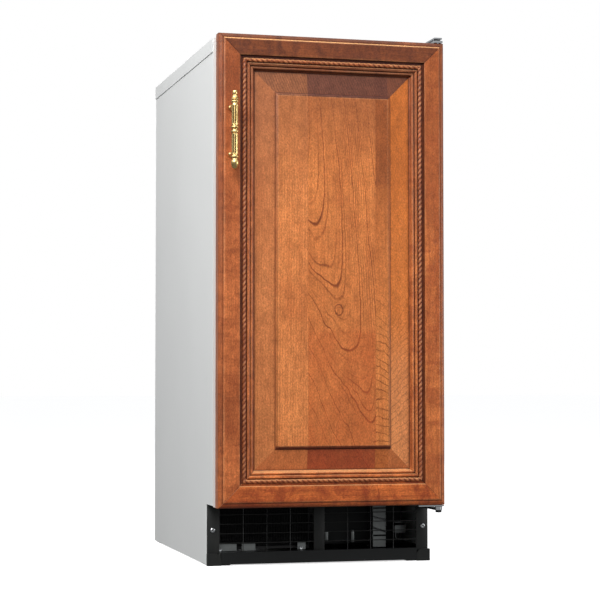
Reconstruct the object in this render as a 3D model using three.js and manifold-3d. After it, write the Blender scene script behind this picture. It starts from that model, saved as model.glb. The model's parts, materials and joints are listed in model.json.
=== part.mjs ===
// A slim under-counter ice maker whose door carries a raised-panel overlay.
// Units are millimetres. +Z is up and the door faces -Y. The origin is on the floor,
// under the middle of the overall box. Left and right are as seen from the front.
import * as THREE from 'three';
import Module from 'manifold-3d';
import { mergeVertices } from 'three/addons/utils/BufferGeometryUtils.js';

const wasm = await Module();
wasm.setup();

// Driving dimensions.
const WIDTH = 378;                 // door, side panels and foot rail
const HALF = WIDTH / 2;
const CABINET_TOP = 851.6;
const GAP = 0.3;                   // clearance between pieces that touch
const SHEET = 1.2;                 // steel sheet

// Planes from the front to the back.
const STILE_FACE = -270;           // flat face of the wooden door frame
const WOOD_BACK = STILE_FACE + 24;
const DOOR_FRONT = WOOD_BACK + GAP;
const DOOR_BACK = DOOR_FRONT + 20;
const CABINET_FRONT = DOOR_BACK + 2;
const GRILLE_FACE = -180.6;        // back of the toe recess
const GRILLE_BACK = GRILLE_FACE + 3.5;
const RAIL_FACE = GRILLE_FACE - 8;
const CABINET_BACK = 288.5;
const FITTING_BACK = 304;

// Levels from the floor up.
const TRAY_BOTTOM = 2;
const RAIL_TOP = 21.3;
const TOE_CEILING = 99.5;
const DOOR_BOTTOM = 98;
const DOOR_TOP = 850.5;
const WOOD_BOTTOM = 97.6;
const WOOD_TOP = 853.7;
const DECK = 205.5;                // underside of the insulated box
const SKIRT_BOTTOM = 829.7;

// The door turns about this upright line.
const PIVOT_X = 180;
const PIVOT_Y = -259;
const PIN_RADIUS = 3;
const RUNNING = 0.06;              // radial clearance of a pin that turns

// Storage bin, inside faces.
const BIN = { x: 149.5, back: 229.5, floor: 235.5, ceiling: 809.5, wall: 2.5 };
const MOUTH = { x: 147, bottom: 250, top: 800 };

// Ice-making unit under the bin's ceiling.
const PLATE = { x0: -128, x1: 68, y0: 10, y1: 178, bottom: 735, top: 765 };
const TILT_Y = 205;
const TILT_Z = 742;

// Cooling fan behind the condenser.
const FAN = { x: -90, z: 98, ring: 62 };

const machine = new THREE.Group();

function paint(color, roughness, metalness = 0) {
  return new THREE.MeshStandardMaterial({ color, roughness, metalness });
}

const finish = {
  shell: paint(0xd9dcdb, 0.45, 0.2),
  white: paint(0xf0f1ee, 0.4),
  black: paint(0x1b1c1c, 0.5),
  foam: paint(0xe9dcae, 0.9),
  cherry: paint(0xb4683a, 0.4),
  brass: paint(0xd3ad4e, 0.25, 1),
  chrome: paint(0xd8dadb, 0.15, 1),
  zinc: paint(0xa9adad, 0.4, 0.9),
  copper: paint(0xb97a50, 0.35, 1),
  rubber: paint(0x3a3c3d, 0.8),
  polymer: paint(0xc9d2d6, 0.45),
};

// ---- geometry helpers ----

// Position-only geometry with shared vertices, its faces turned to point out.
function closed(geometry) {
  const bare = geometry.clone();
  bare.deleteAttribute('normal');
  bare.deleteAttribute('uv');
  const merged = mergeVertices(bare, 1e-4);
  const p = merged.getAttribute('position');
  const index = merged.getIndex().array;
  const [a, b, c] = [new THREE.Vector3(), new THREE.Vector3(), new THREE.Vector3()];
  let volume = 0;
  for (let i = 0; i < index.length; i += 3) {
    a.fromBufferAttribute(p, index[i]);
    b.fromBufferAttribute(p, index[i + 1]);
    c.fromBufferAttribute(p, index[i + 2]);
    volume += a.dot(b.cross(c));
  }
  if (volume < 0) {
    for (let i = 0; i < index.length; i += 3) {
      [index[i], index[i + 1]] = [index[i + 1], index[i]];
    }
  }
  return merged;
}

function toSolid(geometry) {
  const g = closed(geometry);
  return new wasm.Manifold(new wasm.Mesh({
    numProp: 3,
    vertProperties: new Float32Array(g.getAttribute('position').array),
    triVerts: new Uint32Array(g.getIndex().array),
  }));
}

function toGeometry(solid) {
  const mesh = solid.getMesh();
  const g = new THREE.BufferGeometry();
  g.setAttribute('position', new THREE.BufferAttribute(mesh.vertProperties, 3));
  g.setIndex(new THREE.BufferAttribute(mesh.triVerts, 1));
  return g;
}

function join(...pieces) {
  return toGeometry(pieces.map(toSolid).reduce((whole, piece) => whole.add(piece)));
}

function cut(body, ...tools) {
  return toGeometry(tools.map(toSolid).reduce((rest, tool) => rest.subtract(tool), toSolid(body)));
}

// An axis-aligned block between two opposite corners.
function block(x0, x1, y0, y1, z0, z1) {
  const g = new THREE.BoxGeometry(x1 - x0, y1 - y0, z1 - z0);
  return g.translate((x0 + x1) / 2, (y0 + y1) / 2, (z0 + z1) / 2);
}

// An outline pushed along an axis. Its points are (y, z) for x, (x, z) for y, (x, y) for z.
function prism(points, axis, from, to) {
  const shape = new THREE.Shape(points.map(([u, v]) => new THREE.Vector2(u, v)));
  const g = new THREE.ExtrudeGeometry(shape, { depth: to - from, bevelEnabled: false });
  const [ex, ey, ez] = [[1, 0, 0], [0, 1, 0], [0, 0, 1]].map((v) => new THREE.Vector3(...v));
  if (axis === 'x') return g.applyMatrix4(new THREE.Matrix4().makeBasis(ey, ez, ex)).translate(from, 0, 0);
  if (axis === 'y') {
    return g.applyMatrix4(new THREE.Matrix4().makeBasis(ex, ez, ey.negate())).translate(0, to, 0);
  }
  return g.translate(0, 0, from);
}

function circle(u, v, radius, sides) {
  return Array.from({ length: sides }, (_, i) => {
    const turn = (i + 0.5) * 2 * Math.PI / sides;
    return [u + radius * Math.cos(turn), v + radius * Math.sin(turn)];
  });
}

function rod(axis, u, v, radius, from, to, sides = 16) {
  return prism(circle(u, v, radius, sides), axis, from, to);
}

// The hole that a pin of this radius turns in: its flats clear the pin's corners.
function bore(axis, u, v, radius, from, to, sides = 24) {
  return rod(axis, u, v, (radius + RUNNING) / Math.cos(Math.PI / sides), from, to, sides);
}

// A turned piece about a line through (x, y, z). Profile points are [radius, height].
function turned(profile, axis, x, y, z, sides = 16) {
  const g = new THREE.LatheGeometry(profile.map(([r, h]) => new THREE.Vector2(r, h)), sides);
  if (axis === 'z') g.rotateX(Math.PI / 2);
  return g.translate(x, y, z);
}

// A closed skin through rings of points, each ring with the same count, capped at both ends.
function loft(rings) {
  const count = rings[0].length;
  const triangles = [];
  for (let r = 0; r + 1 < rings.length; r += 1) {
    for (let i = 0; i < count; i += 1) {
      const [a, b] = [r * count + i, r * count + (i + 1) % count];
      triangles.push(a, b, b + count, a, b + count, a + count);
    }
  }
  const last = (rings.length - 1) * count;
  for (let i = 1; i + 1 < count; i += 1) {
    triangles.push(0, i + 1, i, last, last + i, last + i + 1);
  }
  const g = new THREE.BufferGeometry();
  g.setAttribute('position', new THREE.Float32BufferAttribute(rings.flat(2), 3));
  g.setIndex(triangles);
  return g;
}

// A tube whose centre line runs through the points with rounded corners.
function tube(points, radius, bend, steps, sides = 8) {
  const at = points.map((p) => new THREE.Vector3(...p));
  const path = new THREE.CurvePath();
  let start = at[0];
  for (let i = 1; i + 1 < at.length; i += 1) {
    const before = at[i].clone().sub(at[i - 1]).setLength(bend);
    const after = at[i + 1].clone().sub(at[i]).setLength(bend);
    const enter = at[i].clone().sub(before);
    const leave = at[i].clone().add(after);
    path.add(new THREE.LineCurve3(start, enter));
    path.add(new THREE.QuadraticBezierCurve3(enter, at[i], leave));
    start = leave;
  }
  path.add(new THREE.LineCurve3(start, at[at.length - 1]));
  const section = new THREE.Shape(circle(0, 0, radius, sides).map(([u, v]) => new THREE.Vector2(u, v)));
  return new THREE.ExtrudeGeometry(section, { steps, extrudePath: path });
}

function add(name, geometry, material) {
  const mesh = new THREE.Mesh(closed(geometry), material.clone());
  mesh.name = name;
  machine.add(mesh);
}

// ---- cabinet ----

function sidePanel(side) {
  const outline = [
    [CABINET_FRONT, TOE_CEILING], [CABINET_FRONT, SKIRT_BOTTOM - GAP],
    [CABINET_BACK, SKIRT_BOTTOM - GAP], [CABINET_BACK, 1.5],
    [GRILLE_BACK + GAP, 1.5], [GRILLE_BACK + GAP, TOE_CEILING],
  ];
  const [inner, outer] = [side * (HALF - SHEET), side * HALF];
  return prism(outline, 'x', Math.min(inner, outer), Math.max(inner, outer));
}

// The painted face that the door seal closes on, with the ceiling of the toe recess.
function faceFrame() {
  const x = HALF - SHEET - GAP;
  const face = block(-x, x, CABINET_FRONT, CABINET_FRONT + SHEET, TOE_CEILING, SKIRT_BOTTOM - GAP);
  const ceiling = block(-x, x, CABINET_FRONT, GRILLE_BACK, TOE_CEILING, TOE_CEILING + SHEET);
  const mouth = block(-MOUTH.x, MOUTH.x, CABINET_FRONT - 1, CABINET_FRONT + 3, MOUTH.bottom, MOUTH.top);
  return cut(join(face, ceiling), mouth);
}

function topCap() {
  const [x, wall] = [HALF + 1.2, 1.4];
  const back = CABINET_BACK + 1.2;
  const outside = block(-x, x, CABINET_FRONT, back, SKIRT_BOTTOM, CABINET_TOP);
  const inside = block(-x + wall, x - wall, CABINET_FRONT + wall, back - wall, SKIRT_BOTTOM - 1,
    CABINET_TOP - wall);
  return cut(outside, inside);
}

function backPanel() {
  const x = HALF - SHEET - GAP;
  return block(-x, x, 286.8, 288, DECK, SKIRT_BOTTOM - GAP);
}

// The service cover behind the compressor, with slots for air and holes for the fittings.
function rearCover() {
  const x = HALF - SHEET - GAP;
  const plate = block(-x, x, 286.8, 288, 24, DECK - GAP);
  const slots = [];
  for (let row = 0; row < 7; row += 1) {
    const z = 46 + row * 13;
    slots.push(block(-85, 15, 286, 289, z, z + 5));
  }
  const holes = [
    rod('y', VALVE.x, VALVE.z, 15, 286, 289), rod('y', DRAIN.x, DRAIN.z, 12, 286, 289),
    rod('y', GLAND.x, GLAND.z, 8.5, 286, 289),
  ];
  return cut(plate, ...slots, ...holes);
}

// A shallow pan that carries the machinery, with the foot rail across its front.
function baseTray() {
  const x = HALF - SHEET - 2 * GAP;
  const floor = block(-x, x, RAIL_FACE, 283, TRAY_BOTTOM, TRAY_BOTTOM + 2);
  const rail = block(-166.2, 166.2, RAIL_FACE, GRILLE_FACE - GAP, TRAY_BOTTOM, RAIL_TOP);
  const walls = [-1, 1].map((side) => {
    const [a, b] = [side * x, side * (x - 1.5)];
    return block(Math.min(a, b), Math.max(a, b), GRILLE_BACK + GAP, 283, TRAY_BOTTOM, 22);
  });
  const back = block(-x, x, 281.5, 283, TRAY_BOTTOM, 22);
  const corners = [-1, 1].map((side) => {
    const [a, b] = [side * 166.3, side * HALF];
    return block(Math.min(a, b), Math.max(a, b), RAIL_FACE - 1, GRILLE_FACE, 0, 30);
  });
  return cut(join(floor, rail, back, ...walls), ...corners);
}

// A corner shoe: a rounded cheek beside the rail and a pad under the tray.
function frontFoot(side) {
  const [inner, outer, top, round] = [166.6, HALF + 0.2, 19.6, 9];
  const arc = Array.from({ length: 6 }, (_, i) => {
    const turn = Math.PI / 2 * (i / 5);
    return [side * (inner + round - round * Math.sin(turn)), top - round + round * Math.cos(turn)];
  });
  const outline = [[side * outer, 0], [side * outer, top], ...arc, [side * inner, 0]];
  const cheek = prism(outline, 'y', RAIL_FACE, GRILLE_FACE - GAP);
  const [a, b] = [side * 150, side * 187];
  const pad = block(Math.min(a, b), Math.max(a, b), GRILLE_FACE - 2, -130, 0, TRAY_BOTTOM - GAP);
  return join(cheek, pad);
}

function backFoot(side) {
  const [a, b] = [side * 150, side * 187];
  return block(Math.min(a, b), Math.max(a, b), 236, 280, 0, TRAY_BOTTOM - GAP);
}

// One moulding: an outer frame, a centre post and thin guard bars across both windows.
function frontGrille() {
  const [x, top, bottom] = [188.2, TOE_CEILING - GAP, 4.4];
  const frame = block(-x, x, GRILLE_FACE, GRILLE_BACK, bottom, top);
  const windows = [[-167.8, -9.3], [9.3, 167.8]];
  const holes = windows.map(([a, b]) => block(a, b, GRILLE_FACE - 1, GRILLE_BACK + 1, 21, 95.5));
  const bars = [];
  const bar = 0.8;                 // half the width of a guard bar
  for (const [a, b] of windows) {
    for (const z of [35.3, 50.7, 66.1, 81.4]) {
      bars.push(block(a - 1, b + 1, GRILLE_FACE + 0.6, GRILLE_FACE + 2.2, z - bar, z + bar));
    }
    for (let i = 1; i <= 3; i += 1) {
      const post = a + (b - a) * i / 4;
      bars.push(block(post - bar, post + bar, GRILLE_FACE + 0.4, GRILLE_FACE + 2.4, 20, 96.5));
    }
  }
  const screwHoles = [-1, 1].map((side) => rod('y', side * SCREW.x, SCREW.z, 2.2,
    GRILLE_FACE - 1, GRILLE_BACK + 1, 12));
  return cut(join(cut(frame, ...holes), ...bars), ...screwHoles);
}

const SCREW = { x: 179, z: 57.2 };

function grilleScrew(side) {
  const profile = [[0, 0], [3.6, 0.2], [4.2, 1], [4.2, 1.8], [1.8, 1.8], [1.8, 8], [0, 8]];
  return turned(profile, 'y', side * SCREW.x, GRILLE_FACE - 2.1, SCREW.z, 12);
}

// ---- insulated bin ----

// Lines that pass through the back wall, and the drain through the floor.
const LINES = { suctionX: 60, waterX: -60, z: 792, radius: 8 };
const DRAIN = { x: 0, y: 150, z: 186 };

function wallHoles(grow) {
  const [front, back] = [BIN.back - 4, 260];
  return [
    rod('y', LINES.suctionX, LINES.z, LINES.radius + grow, front, back),
    rod('y', LINES.waterX, LINES.z, LINES.radius + grow, front, back),
    rod('z', DRAIN.x, DRAIN.y, 12 + grow, DECK - 1, BIN.floor + 1),
  ];
}

function cabinetInsulation() {
  const wall = BIN.wall + GAP;
  const outside = block(-187.4, 187.4, CABINET_FRONT + 1.6, 257.5, DECK, 849.8);
  const bin = block(-BIN.x - wall, BIN.x + wall, CABINET_FRONT - 5, BIN.back + wall,
    BIN.floor - wall, BIN.ceiling + wall);
  return cut(outside, bin, ...wallHoles(1));
}

// A moulded tub on its side, with a pocket on the left wall where the scoop stands.
function binLiner() {
  const { x, back, floor, ceiling, wall } = BIN;
  const outside = block(-x - wall, x + wall, CABINET_FRONT + 1.5, back + wall, floor - wall, ceiling + wall);
  const inside = block(-x, x, CABINET_FRONT, back, floor, ceiling);
  const pocket = cut(block(-x - 1, -91, -178, -102, 462, 506), block(-146, -94, -175, -105, 465, 507));
  return join(cut(outside, inside, ...wallHoles(0)), pocket);
}

// The scoop stands in its pocket, mouth down, with the handle up.
function iceScoop() {
  const bowl = cut(block(-144, -97, -172, -108, 466, 552), block(-142, -90, -170, -110, 460, 550));
  const neck = [[-126, -114], [-146, -134]];
  const rings = [[552, 10, 8], [570, 6, 6], [600, 8, 7], [634, 8, 7], [640, 5, 4]].map(([z, hx, hy]) => {
    const [cx, cy] = [(neck[0][0] + neck[0][1]) / 2, (neck[1][0] + neck[1][1]) / 2];
    return [[cx - hx, cy - hy, z], [cx + hx, cy - hy, z], [cx + hx, cy + hy, z], [cx - hx, cy + hy, z]];
  });
  rings[0].forEach((point) => { point[2] -= 1; });
  return join(bowl, loft(rings));
}

// ---- hinges ----

const ARM = { x0: 173.5, x1: 186.5 };

function hingeBracketTop() {
  const [low, high] = [CABINET_TOP + GAP, 860.3];
  const t = 2.5;
  const outline = [
    [-160, low], [-222.5, low], [-222.5, high], [-265.5, high], [-265.5, high + t],
    [-222.5 + t, high + t], [-222.5 + t, low + t], [-160, low + t],
  ];
  const leaf = block(148, ARM.x1, -205, -160, low, low + t);
  const hole = rod('z', PIVOT_X, PIVOT_Y, PIN_RADIUS + GAP, high - 1, high + t + 1);
  return cut(join(prism(outline, 'x', ARM.x0, ARM.x1), leaf), hole);
}

function hingeBracketBottom() {
  const barrel = rod('z', PIVOT_X, PIVOT_Y, 6.1, 88.6, 94.8, 20);
  const arm = block(ARM.x0 + 0.7, ARM.x1, PIVOT_Y + 4.5, -185, 88.6, 91.4);
  const riser = block(ARM.x0 + 0.7, ARM.x1, -188, -185, 88.6, 99.2);
  const flange = block(150, ARM.x1, -221.5, -185, 96.4, 99.2);
  const hole = rod('z', PIVOT_X, PIVOT_Y, PIN_RADIUS + GAP, 88, 96);
  return cut(join(barrel, arm, riser, flange), hole);
}

function hingePinBottom() {
  const profile = [[0, 85], [4.4, 85], [5, 85.8], [5, 88.3], [PIN_RADIUS, 88.3], [PIN_RADIUS, 97], [0, 97]];
  return turned(profile, 'z', PIVOT_X, PIVOT_Y, 0, 16);
}

// The door's upper plate sits on the steel shell and steps forward over the wood.
function hingePlateTop() {
  const [low, high] = [WOOD_TOP + 0.5, 857.6];
  const outline = [
    [-267, low], [-267, high], [-228, high], [-228, DOOR_TOP + GAP],
    [DOOR_FRONT + 1, DOOR_TOP + GAP], [DOOR_FRONT + 1, low],
  ];
  const hole = bore('z', PIVOT_X, PIVOT_Y, PIN_RADIUS, low - 1, high + 1);
  return cut(prism(outline, 'x', ARM.x0, ARM.x1 + 0.5), hole);
}

function hingePlateBottom() {
  const plate = block(143.5, 187, -267, -228, 95.1, 97.2);
  return cut(plate, bore('z', PIVOT_X, PIVOT_Y, PIN_RADIUS, 94, 98));
}

// ---- door ----

function doorShell() {
  const x = HALF - 0.5;
  const outside = block(-x, x, DOOR_FRONT, DOOR_BACK, DOOR_BOTTOM, DOOR_TOP);
  const inside = block(-x + 1, x - 1, DOOR_FRONT + 1, DOOR_BACK + 1, DOOR_BOTTOM + 1, DOOR_TOP - 1);
  return cut(outside, inside);
}

const FLANGE = { front: -234.7, back: -233.5 };
const BULGE = { x: 140, bottom: 262, top: 788, back: -206, wall: 1.5 };

function doorLiner() {
  const flange = block(-187, 187, FLANGE.front, FLANGE.back, DOOR_BOTTOM + 1.5, DOOR_TOP - 1.5);
  const bulge = block(-BULGE.x, BULGE.x, FLANGE.front, BULGE.back, BULGE.bottom, BULGE.top);
  const w = BULGE.wall;
  const hollow = block(-BULGE.x + w, BULGE.x - w, FLANGE.front - 1, BULGE.back - w,
    BULGE.bottom + w, BULGE.top - w);
  return cut(join(flange, bulge), hollow);
}

function doorInsulation() {
  const slab = block(-187, 187, DOOR_FRONT + 1 + GAP, FLANGE.front - GAP, DOOR_BOTTOM + 1.5, DOOR_TOP - 1.5);
  const w = BULGE.wall + GAP;
  const core = block(-BULGE.x + w, BULGE.x - w, DOOR_FRONT + 2, BULGE.back - w, BULGE.bottom + w, BULGE.top - w);
  return join(slab, core);
}

function doorGasket() {
  const [y0, y1] = [FLANGE.back + GAP, CABINET_FRONT - GAP];
  const outside = block(-181, 181, y0, y1, 105, 843);
  return cut(outside, block(-164, 164, y0 - 1, y1 + 1, 122, 826));
}

// Section of the frame: distance in from the outer edge, depth behind the flat face.
const FRAME_SECTION = [
  [0, 24], [0, 7], [2.2, 4.2], [6.4, 2.4], [9, 0], [34.4, 0], [34.4, 4.8], [46.6, 4.8],
  [46.6, 2], [50.6, 2], [52.6, 3.8], [56, 4], [59.1, 8.5], [59.1, 24],
];
const ROPE = { outer: 38.7, inner: 45.2 };
const PANEL_EDGE = 59.4;

// A length of the frame, mitred at both ends. It is made along +u with its outer edge at v = 0.
function mitred(length, place) {
  const mitre = GAP / 2 * Math.SQRT2;
  const ring = (end) => FRAME_SECTION.map(([inset, depth]) => {
    const along = end ? length - inset - mitre : inset + mitre;
    return place(along, inset, STILE_FACE + depth);
  });
  return loftConcave(ring(0), ring(1));
}

// Like loft, for two rings whose outline isn't convex.
function loftConcave(near, far) {
  const count = near.length;
  const outline = FRAME_SECTION.map(([u, v]) => new THREE.Vector2(u, v));
  const faces = THREE.ShapeUtils.triangulateShape(outline, []);
  const triangles = faces.flatMap(([a, b, c]) => [a, c, b, a + count, b + count, c + count]);
  for (let i = 0; i < count; i += 1) {
    const next = (i + 1) % count;
    triangles.push(i, next, next + count, i, next + count, i + count);
  }
  const g = new THREE.BufferGeometry();
  g.setAttribute('position', new THREE.Float32BufferAttribute([...near, ...far].flat(), 3));
  g.setIndex(triangles);
  return g;
}

function doorFrame() {
  const height = WOOD_TOP - WOOD_BOTTOM;
  add('stile_left', mitred(height, (u, v, y) => [-HALF + v, y, WOOD_BOTTOM + u]), finish.cherry);
  add('stile_right', mitred(height, (u, v, y) => [HALF - v, y, WOOD_BOTTOM + u]), finish.cherry);
  add('rail_top', mitred(WIDTH, (u, v, y) => [-HALF + u, y, WOOD_TOP - v]), finish.cherry);
  add('rail_bottom', mitred(WIDTH, (u, v, y) => [-HALF + u, y, WOOD_BOTTOM + v]), finish.cherry);
}

function ropeMoulding() {
  const [y0, y1] = [STILE_FACE + 0.2, STILE_FACE + 4.5];
  const ring = (inset, a, b) => block(-HALF + inset, HALF - inset, a, b, WOOD_BOTTOM + inset, WOOD_TOP - inset);
  return cut(ring(ROPE.outer, y0, y1), ring(ROPE.inner, y0 - 1, y1 + 1));
}

// Sloped border, a step, and a flat centre field.
function raisedPanel() {
  const levels = [[PANEL_EDGE, 20], [PANEL_EDGE, 8.5], [92.2, 5], [94.5, 1.6], [97.6, 0.8]];
  return loft(levels.map(([inset, depth]) => {
    const [x, y] = [HALF - inset, STILE_FACE + depth];
    const [low, high] = [WOOD_BOTTOM + inset, WOOD_TOP - inset];
    return [[-x, y, low], [x, y, low], [x, y, high], [-x, y, high]];
  }));
}

// ---- handle ----

const HANDLE = { x: -169.6, y: -297.5, bottom: 631.8, posts: [657.7, 732.4] };

function handleBar() {
  const profile = [
    [0, 0], [3.2, 0.8], [5.6, 4], [6.2, 9], [4.6, 14.5], [5, 18], [6.4, 20], [6.4, 22.2], [5.2, 22.6],
    [5.2, 57], [6.4, 59.6], [6.4, 61.8], [4.9, 64.1], [6.4, 66.4], [6.4, 68.6], [5.2, 71],
    [5.2, 104.5], [6.4, 107], [6.4, 109.2], [4.8, 110.6], [6.1, 114], [3.4, 118], [3.5, 122], [0, 125],
  ];
  return turned(profile, 'z', HANDLE.x, HANDLE.y, HANDLE.bottom, 14);
}

function handlePost(z) {
  const reach = HANDLE.y + 5.2 + GAP;
  const length = STILE_FACE - GAP - reach;
  const profile = [[0, 0], [3.2, 0], [3.4, length - 6], [5.4, length - 2.4], [6, length], [0, length]];
  return turned(profile, 'y', HANDLE.x, reach, z, 14);
}

// ---- ice-making unit ----

// A block of open cells, mouths down, where the cubes freeze.
function evaporator() {
  const { x0, x1, y0, y1, bottom, top } = PLATE;
  const cell = 28;
  const cells = [];
  for (let i = 0; i < (x1 - x0) / cell; i += 1) {
    for (let j = 0; j < (y1 - y0) / cell; j += 1) {
      const [x, y] = [x0 + i * cell, y0 + j * cell];
      cells.push(block(x + 1.2, x + cell - 1.2, y + 1.2, y + cell - 1.2, bottom - 1, top - 3));
    }
  }
  return cut(block(x0, x1, y0, y1, bottom, top), ...cells);
}

function evaporatorCoil() {
  const z = PLATE.top + 5;
  const [left, right, pitch] = [PLATE.x0 + 14, PLATE.x1 - 14, 34];
  const points = [];
  for (let pass = 0; pass < 5; pass += 1) {
    const y = 26 + pass * pitch;
    const ends = pass % 2 ? [right, left] : [left, right];
    points.push([ends[0], y, z], [ends[1], y, z]);
  }
  return tube(points, 4.5, 14, 64, 6);
}

// A hanger that holds the cell block and carries the tilt pins at its back.
function evaporatorFrame() {
  const [a, b] = [PLATE.x0 - 6, PLATE.x1 + 6];
  const top = block(a, b, 0, 215, BIN.ceiling - 3.3, BIN.ceiling - GAP);
  const cheeks = [[a, a + 2], [b - 2, b]].map(([x0, x1]) => block(x0, x1, 0, 215, 736, BIN.ceiling - 1));
  const holes = cheeks.map((_, i) => bore('x', TILT_Y, TILT_Z, 3, i ? b - 3 : a - 1, i ? b + 1 : a + 3));
  return cut(join(top, ...cheeks), ...holes);
}

// The plate that closes the cells from below and sprays them, on two pins at its back.
function waterPlate() {
  const plate = block(PLATE.x0, PLATE.x1, 5, 196, 727, 733.6);
  const sides = [[PLATE.x0, -1], [PLATE.x1, 1]];
  const lugs = sides.map(([x, s]) => {
    const [a, b] = [x, x - s * 6];
    return block(Math.min(a, b), Math.max(a, b), 189, 212, 727, 749);
  });
  const pins = sides.map(([x, s]) => {
    const [a, b] = [x - s * 3, x + s * 8];
    return rod('x', TILT_Y, TILT_Z, 3, Math.min(a, b), Math.max(a, b));
  });
  return join(plate, ...lugs, ...pins);
}

function waterTank() {
  const outside = block(-120, 60, 14, 168, 674, 726.7);
  return cut(outside, block(-117.5, 57.5, 16.5, 165.5, 676.5, 730));
}

function pumpMotor() {
  const body = turned([[0, 0], [16, 0], [18, 4], [18, 50], [12, 58], [0, 58]], 'z', 98, 60, 690, 14);
  const bracket = block(60.3, 98, 50, 70, 692, 700);
  return join(body, bracket);
}

const CAM = { y: 0, z: 776, x0: 77, x1: 82 };

function actuatorMotor() {
  const body = block(86, 142, -30, 30, 768, BIN.ceiling - GAP);
  return join(body, rod('x', CAM.y, CAM.z, 4, CAM.x0 - 1, 88));
}

function camArm() {
  const arm = [[-8, CAM.z + 8], [-8, CAM.z - 8], [18, CAM.z - 24], [26, CAM.z - 16], [8, CAM.z + 8]];
  return cut(prism(arm, 'x', CAM.x0, CAM.x1), bore('x', CAM.y, CAM.z, 4, CAM.x0 - 1, CAM.x1 + 1));
}

const LEVER = { x: 122, z: 642, y0: -115, y1: -85 };

function binControl() {
  const { x, z, y0, y1 } = LEVER;
  const body = block(98, BIN.x - GAP, y0 - 5, y1 + 5, z + 8, z + 46);
  const ears = [[y0 - 5, y0 - 1], [y1 + 1, y1 + 5]].map(([a, b]) => block(x - 7, x + 7, a, b, z - 6, z + 9));
  const holes = ears.map((_, i) => bore('y', x, z, 2, i ? y1 : y0 - 6, i ? y1 + 6 : y0));
  return cut(join(body, ...ears), ...holes);
}

function binLever() {
  const { x, z, y0, y1 } = LEVER;
  const barrel = rod('y', x, z, 5, y0, y1, 14);
  const pin = rod('y', x, z, 2, y0 - 4.5, y1 + 4.5, 14);
  const paddle = block(x - 1.5, x + 1.5, y0, y1, z - 118, z - 3);
  return join(barrel, pin, paddle);
}

// ---- machinery under the bin ----

const VALVE = { x: -125, z: 172 };
const GLAND = { x: 150, z: 60 };

function compressor() {
  const dome = turned([[0, 29], [56, 29], [66, 44], [68, 60], [68, 118], [60, 148], [40, 164], [0, 170]],
    'z', 78, 175, 0, 20);
  const plinth = block(14, 142, 111, 239, 24, 31);
  return join(dome, plinth);
}

// Upright cooling fins on both faces of a core, seen through the left window.
function condenser() {
  const [x0, x1, front, back, core, fins, fin] = [-166, -14, -168, -130, 3, 15, 1.6];
  const [middle, pitch] = [(front + back) / 2, (x1 - x0 - fin) / (fins - 1)];
  const comb = (face, root) => Array.from({ length: fins }, (_, i) => {
    const x = x0 + i * pitch;
    return [[x, root], [x, face], [x + fin, face], [x + fin, root]];
  }).flat().slice(1, -1);
  const outline = [...comb(front, middle - core), ...comb(back, middle + core).reverse()];
  return prism(outline, 'z', 24.5, 150);
}

function fanShroud() {
  const { x, z, ring } = FAN;
  const plate = block(-168, -12, -126, -123.5, 24.5, 176);
  const collar = rod('y', x, z, ring + 3, -124, -104, 24);
  return cut(join(plate, collar), rod('y', x, z, ring, -128, -100, 24));
}

function fanBlade() {
  const { x, z } = FAN;
  const hub = rod('y', x, z, 16, -121, -107, 16);
  const pitch = 0.32;
  const blades = Array.from({ length: 5 }, (_, i) => block(-17, 17, -1, 1, 10, 56)
    .rotateZ(pitch).rotateY(i * 2 * Math.PI / 5).translate(x, -114, z));
  return cut(join(hub, ...blades), bore('y', x, z, 3, -122, -106));
}

function fanMotor() {
  const { x, z } = FAN;
  const can = rod('y', x, z, 25, -96, -48, 18);
  const shaft = rod('y', x, z, 3, -119, -90, 16);
  const leg = block(x - 12, x + 12, -84, -78, 24.5, z);
  const foot = block(x - 30, x + 30, -92, -66, 24.5, 27.5);
  return join(can, shaft, leg, foot);
}

function hotGasValve() {
  const coil = block(-84, -56, 108, 136, 140, 172);
  return join(coil, rod('z', -70, 122, 8, 112, 182, 12));
}

function controlBox() {
  const box = block(24, 164, -112, -24, 24.5, 168);
  return cut(box, block(SWITCH.x - 7.6, SWITCH.x + 7.6, -113, -94, SWITCH.z - 11.6, SWITCH.z + 11.6));
}

const SWITCH = { x: 130, z: 62, y: -105 };

// A rocker whose two ends stand out in turn. It turns about a line along X.
function powerSwitch() {
  const { x, z, y } = SWITCH;
  const outline = [[y + 4, z - 6.5], [y + 4, z + 6.5], [y - 7.2, z + 9], [y - 6, z], [y - 9.6, z - 9]];
  return prism(outline, 'x', x - 7, x + 7);
}

function dischargeLine() {
  return tube([[30, 118, 60], [-20, 100, 60], [-20, 60, 188], [-20, -149, 188], [-60, -149, 188],
    [-60, -149, 150.4]], 4, 12, 36, 6);
}

function suctionLine() {
  return tube([[60, 192, 776], [60, 205, LINES.z], [60, 270, LINES.z], [60, 270, 200], [78, 262, 188],
    [78, 190, 188], [78, 190, 168.5]], 5, 8, 46, 6);
}

function waterSupplyTube() {
  return tube([[VALVE.x, 268, 188.5], [VALVE.x, 268, 740], [LINES.waterX, 268, LINES.z],
    [LINES.waterX, 218, LINES.z]], 4, 12, 34, 6);
}

function waterValve() {
  const body = block(VALVE.x - 20, VALVE.x + 20, 236, 280, VALVE.z - 16, VALVE.z + 16);
  const thread = rod('y', VALVE.x, VALVE.z, 13, 278, FITTING_BACK, 18);
  return cut(join(body, thread), rod('y', VALVE.x, VALVE.z, 9, 290, FITTING_BACK + 1, 18));
}

function drainOutlet() {
  const elbow = tube([[DRAIN.x, DRAIN.y, BIN.floor - 3], [DRAIN.x, DRAIN.y, DRAIN.z],
    [DRAIN.x, FITTING_BACK - 1, DRAIN.z]], 9.5, 16, 18, 10);
  const spigot = rod('y', DRAIN.x, DRAIN.z, 11, 275, FITTING_BACK, 18);
  return cut(join(elbow, spigot), rod('y', DRAIN.x, DRAIN.z, 7.5, 280, FITTING_BACK + 1, 18));
}

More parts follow.
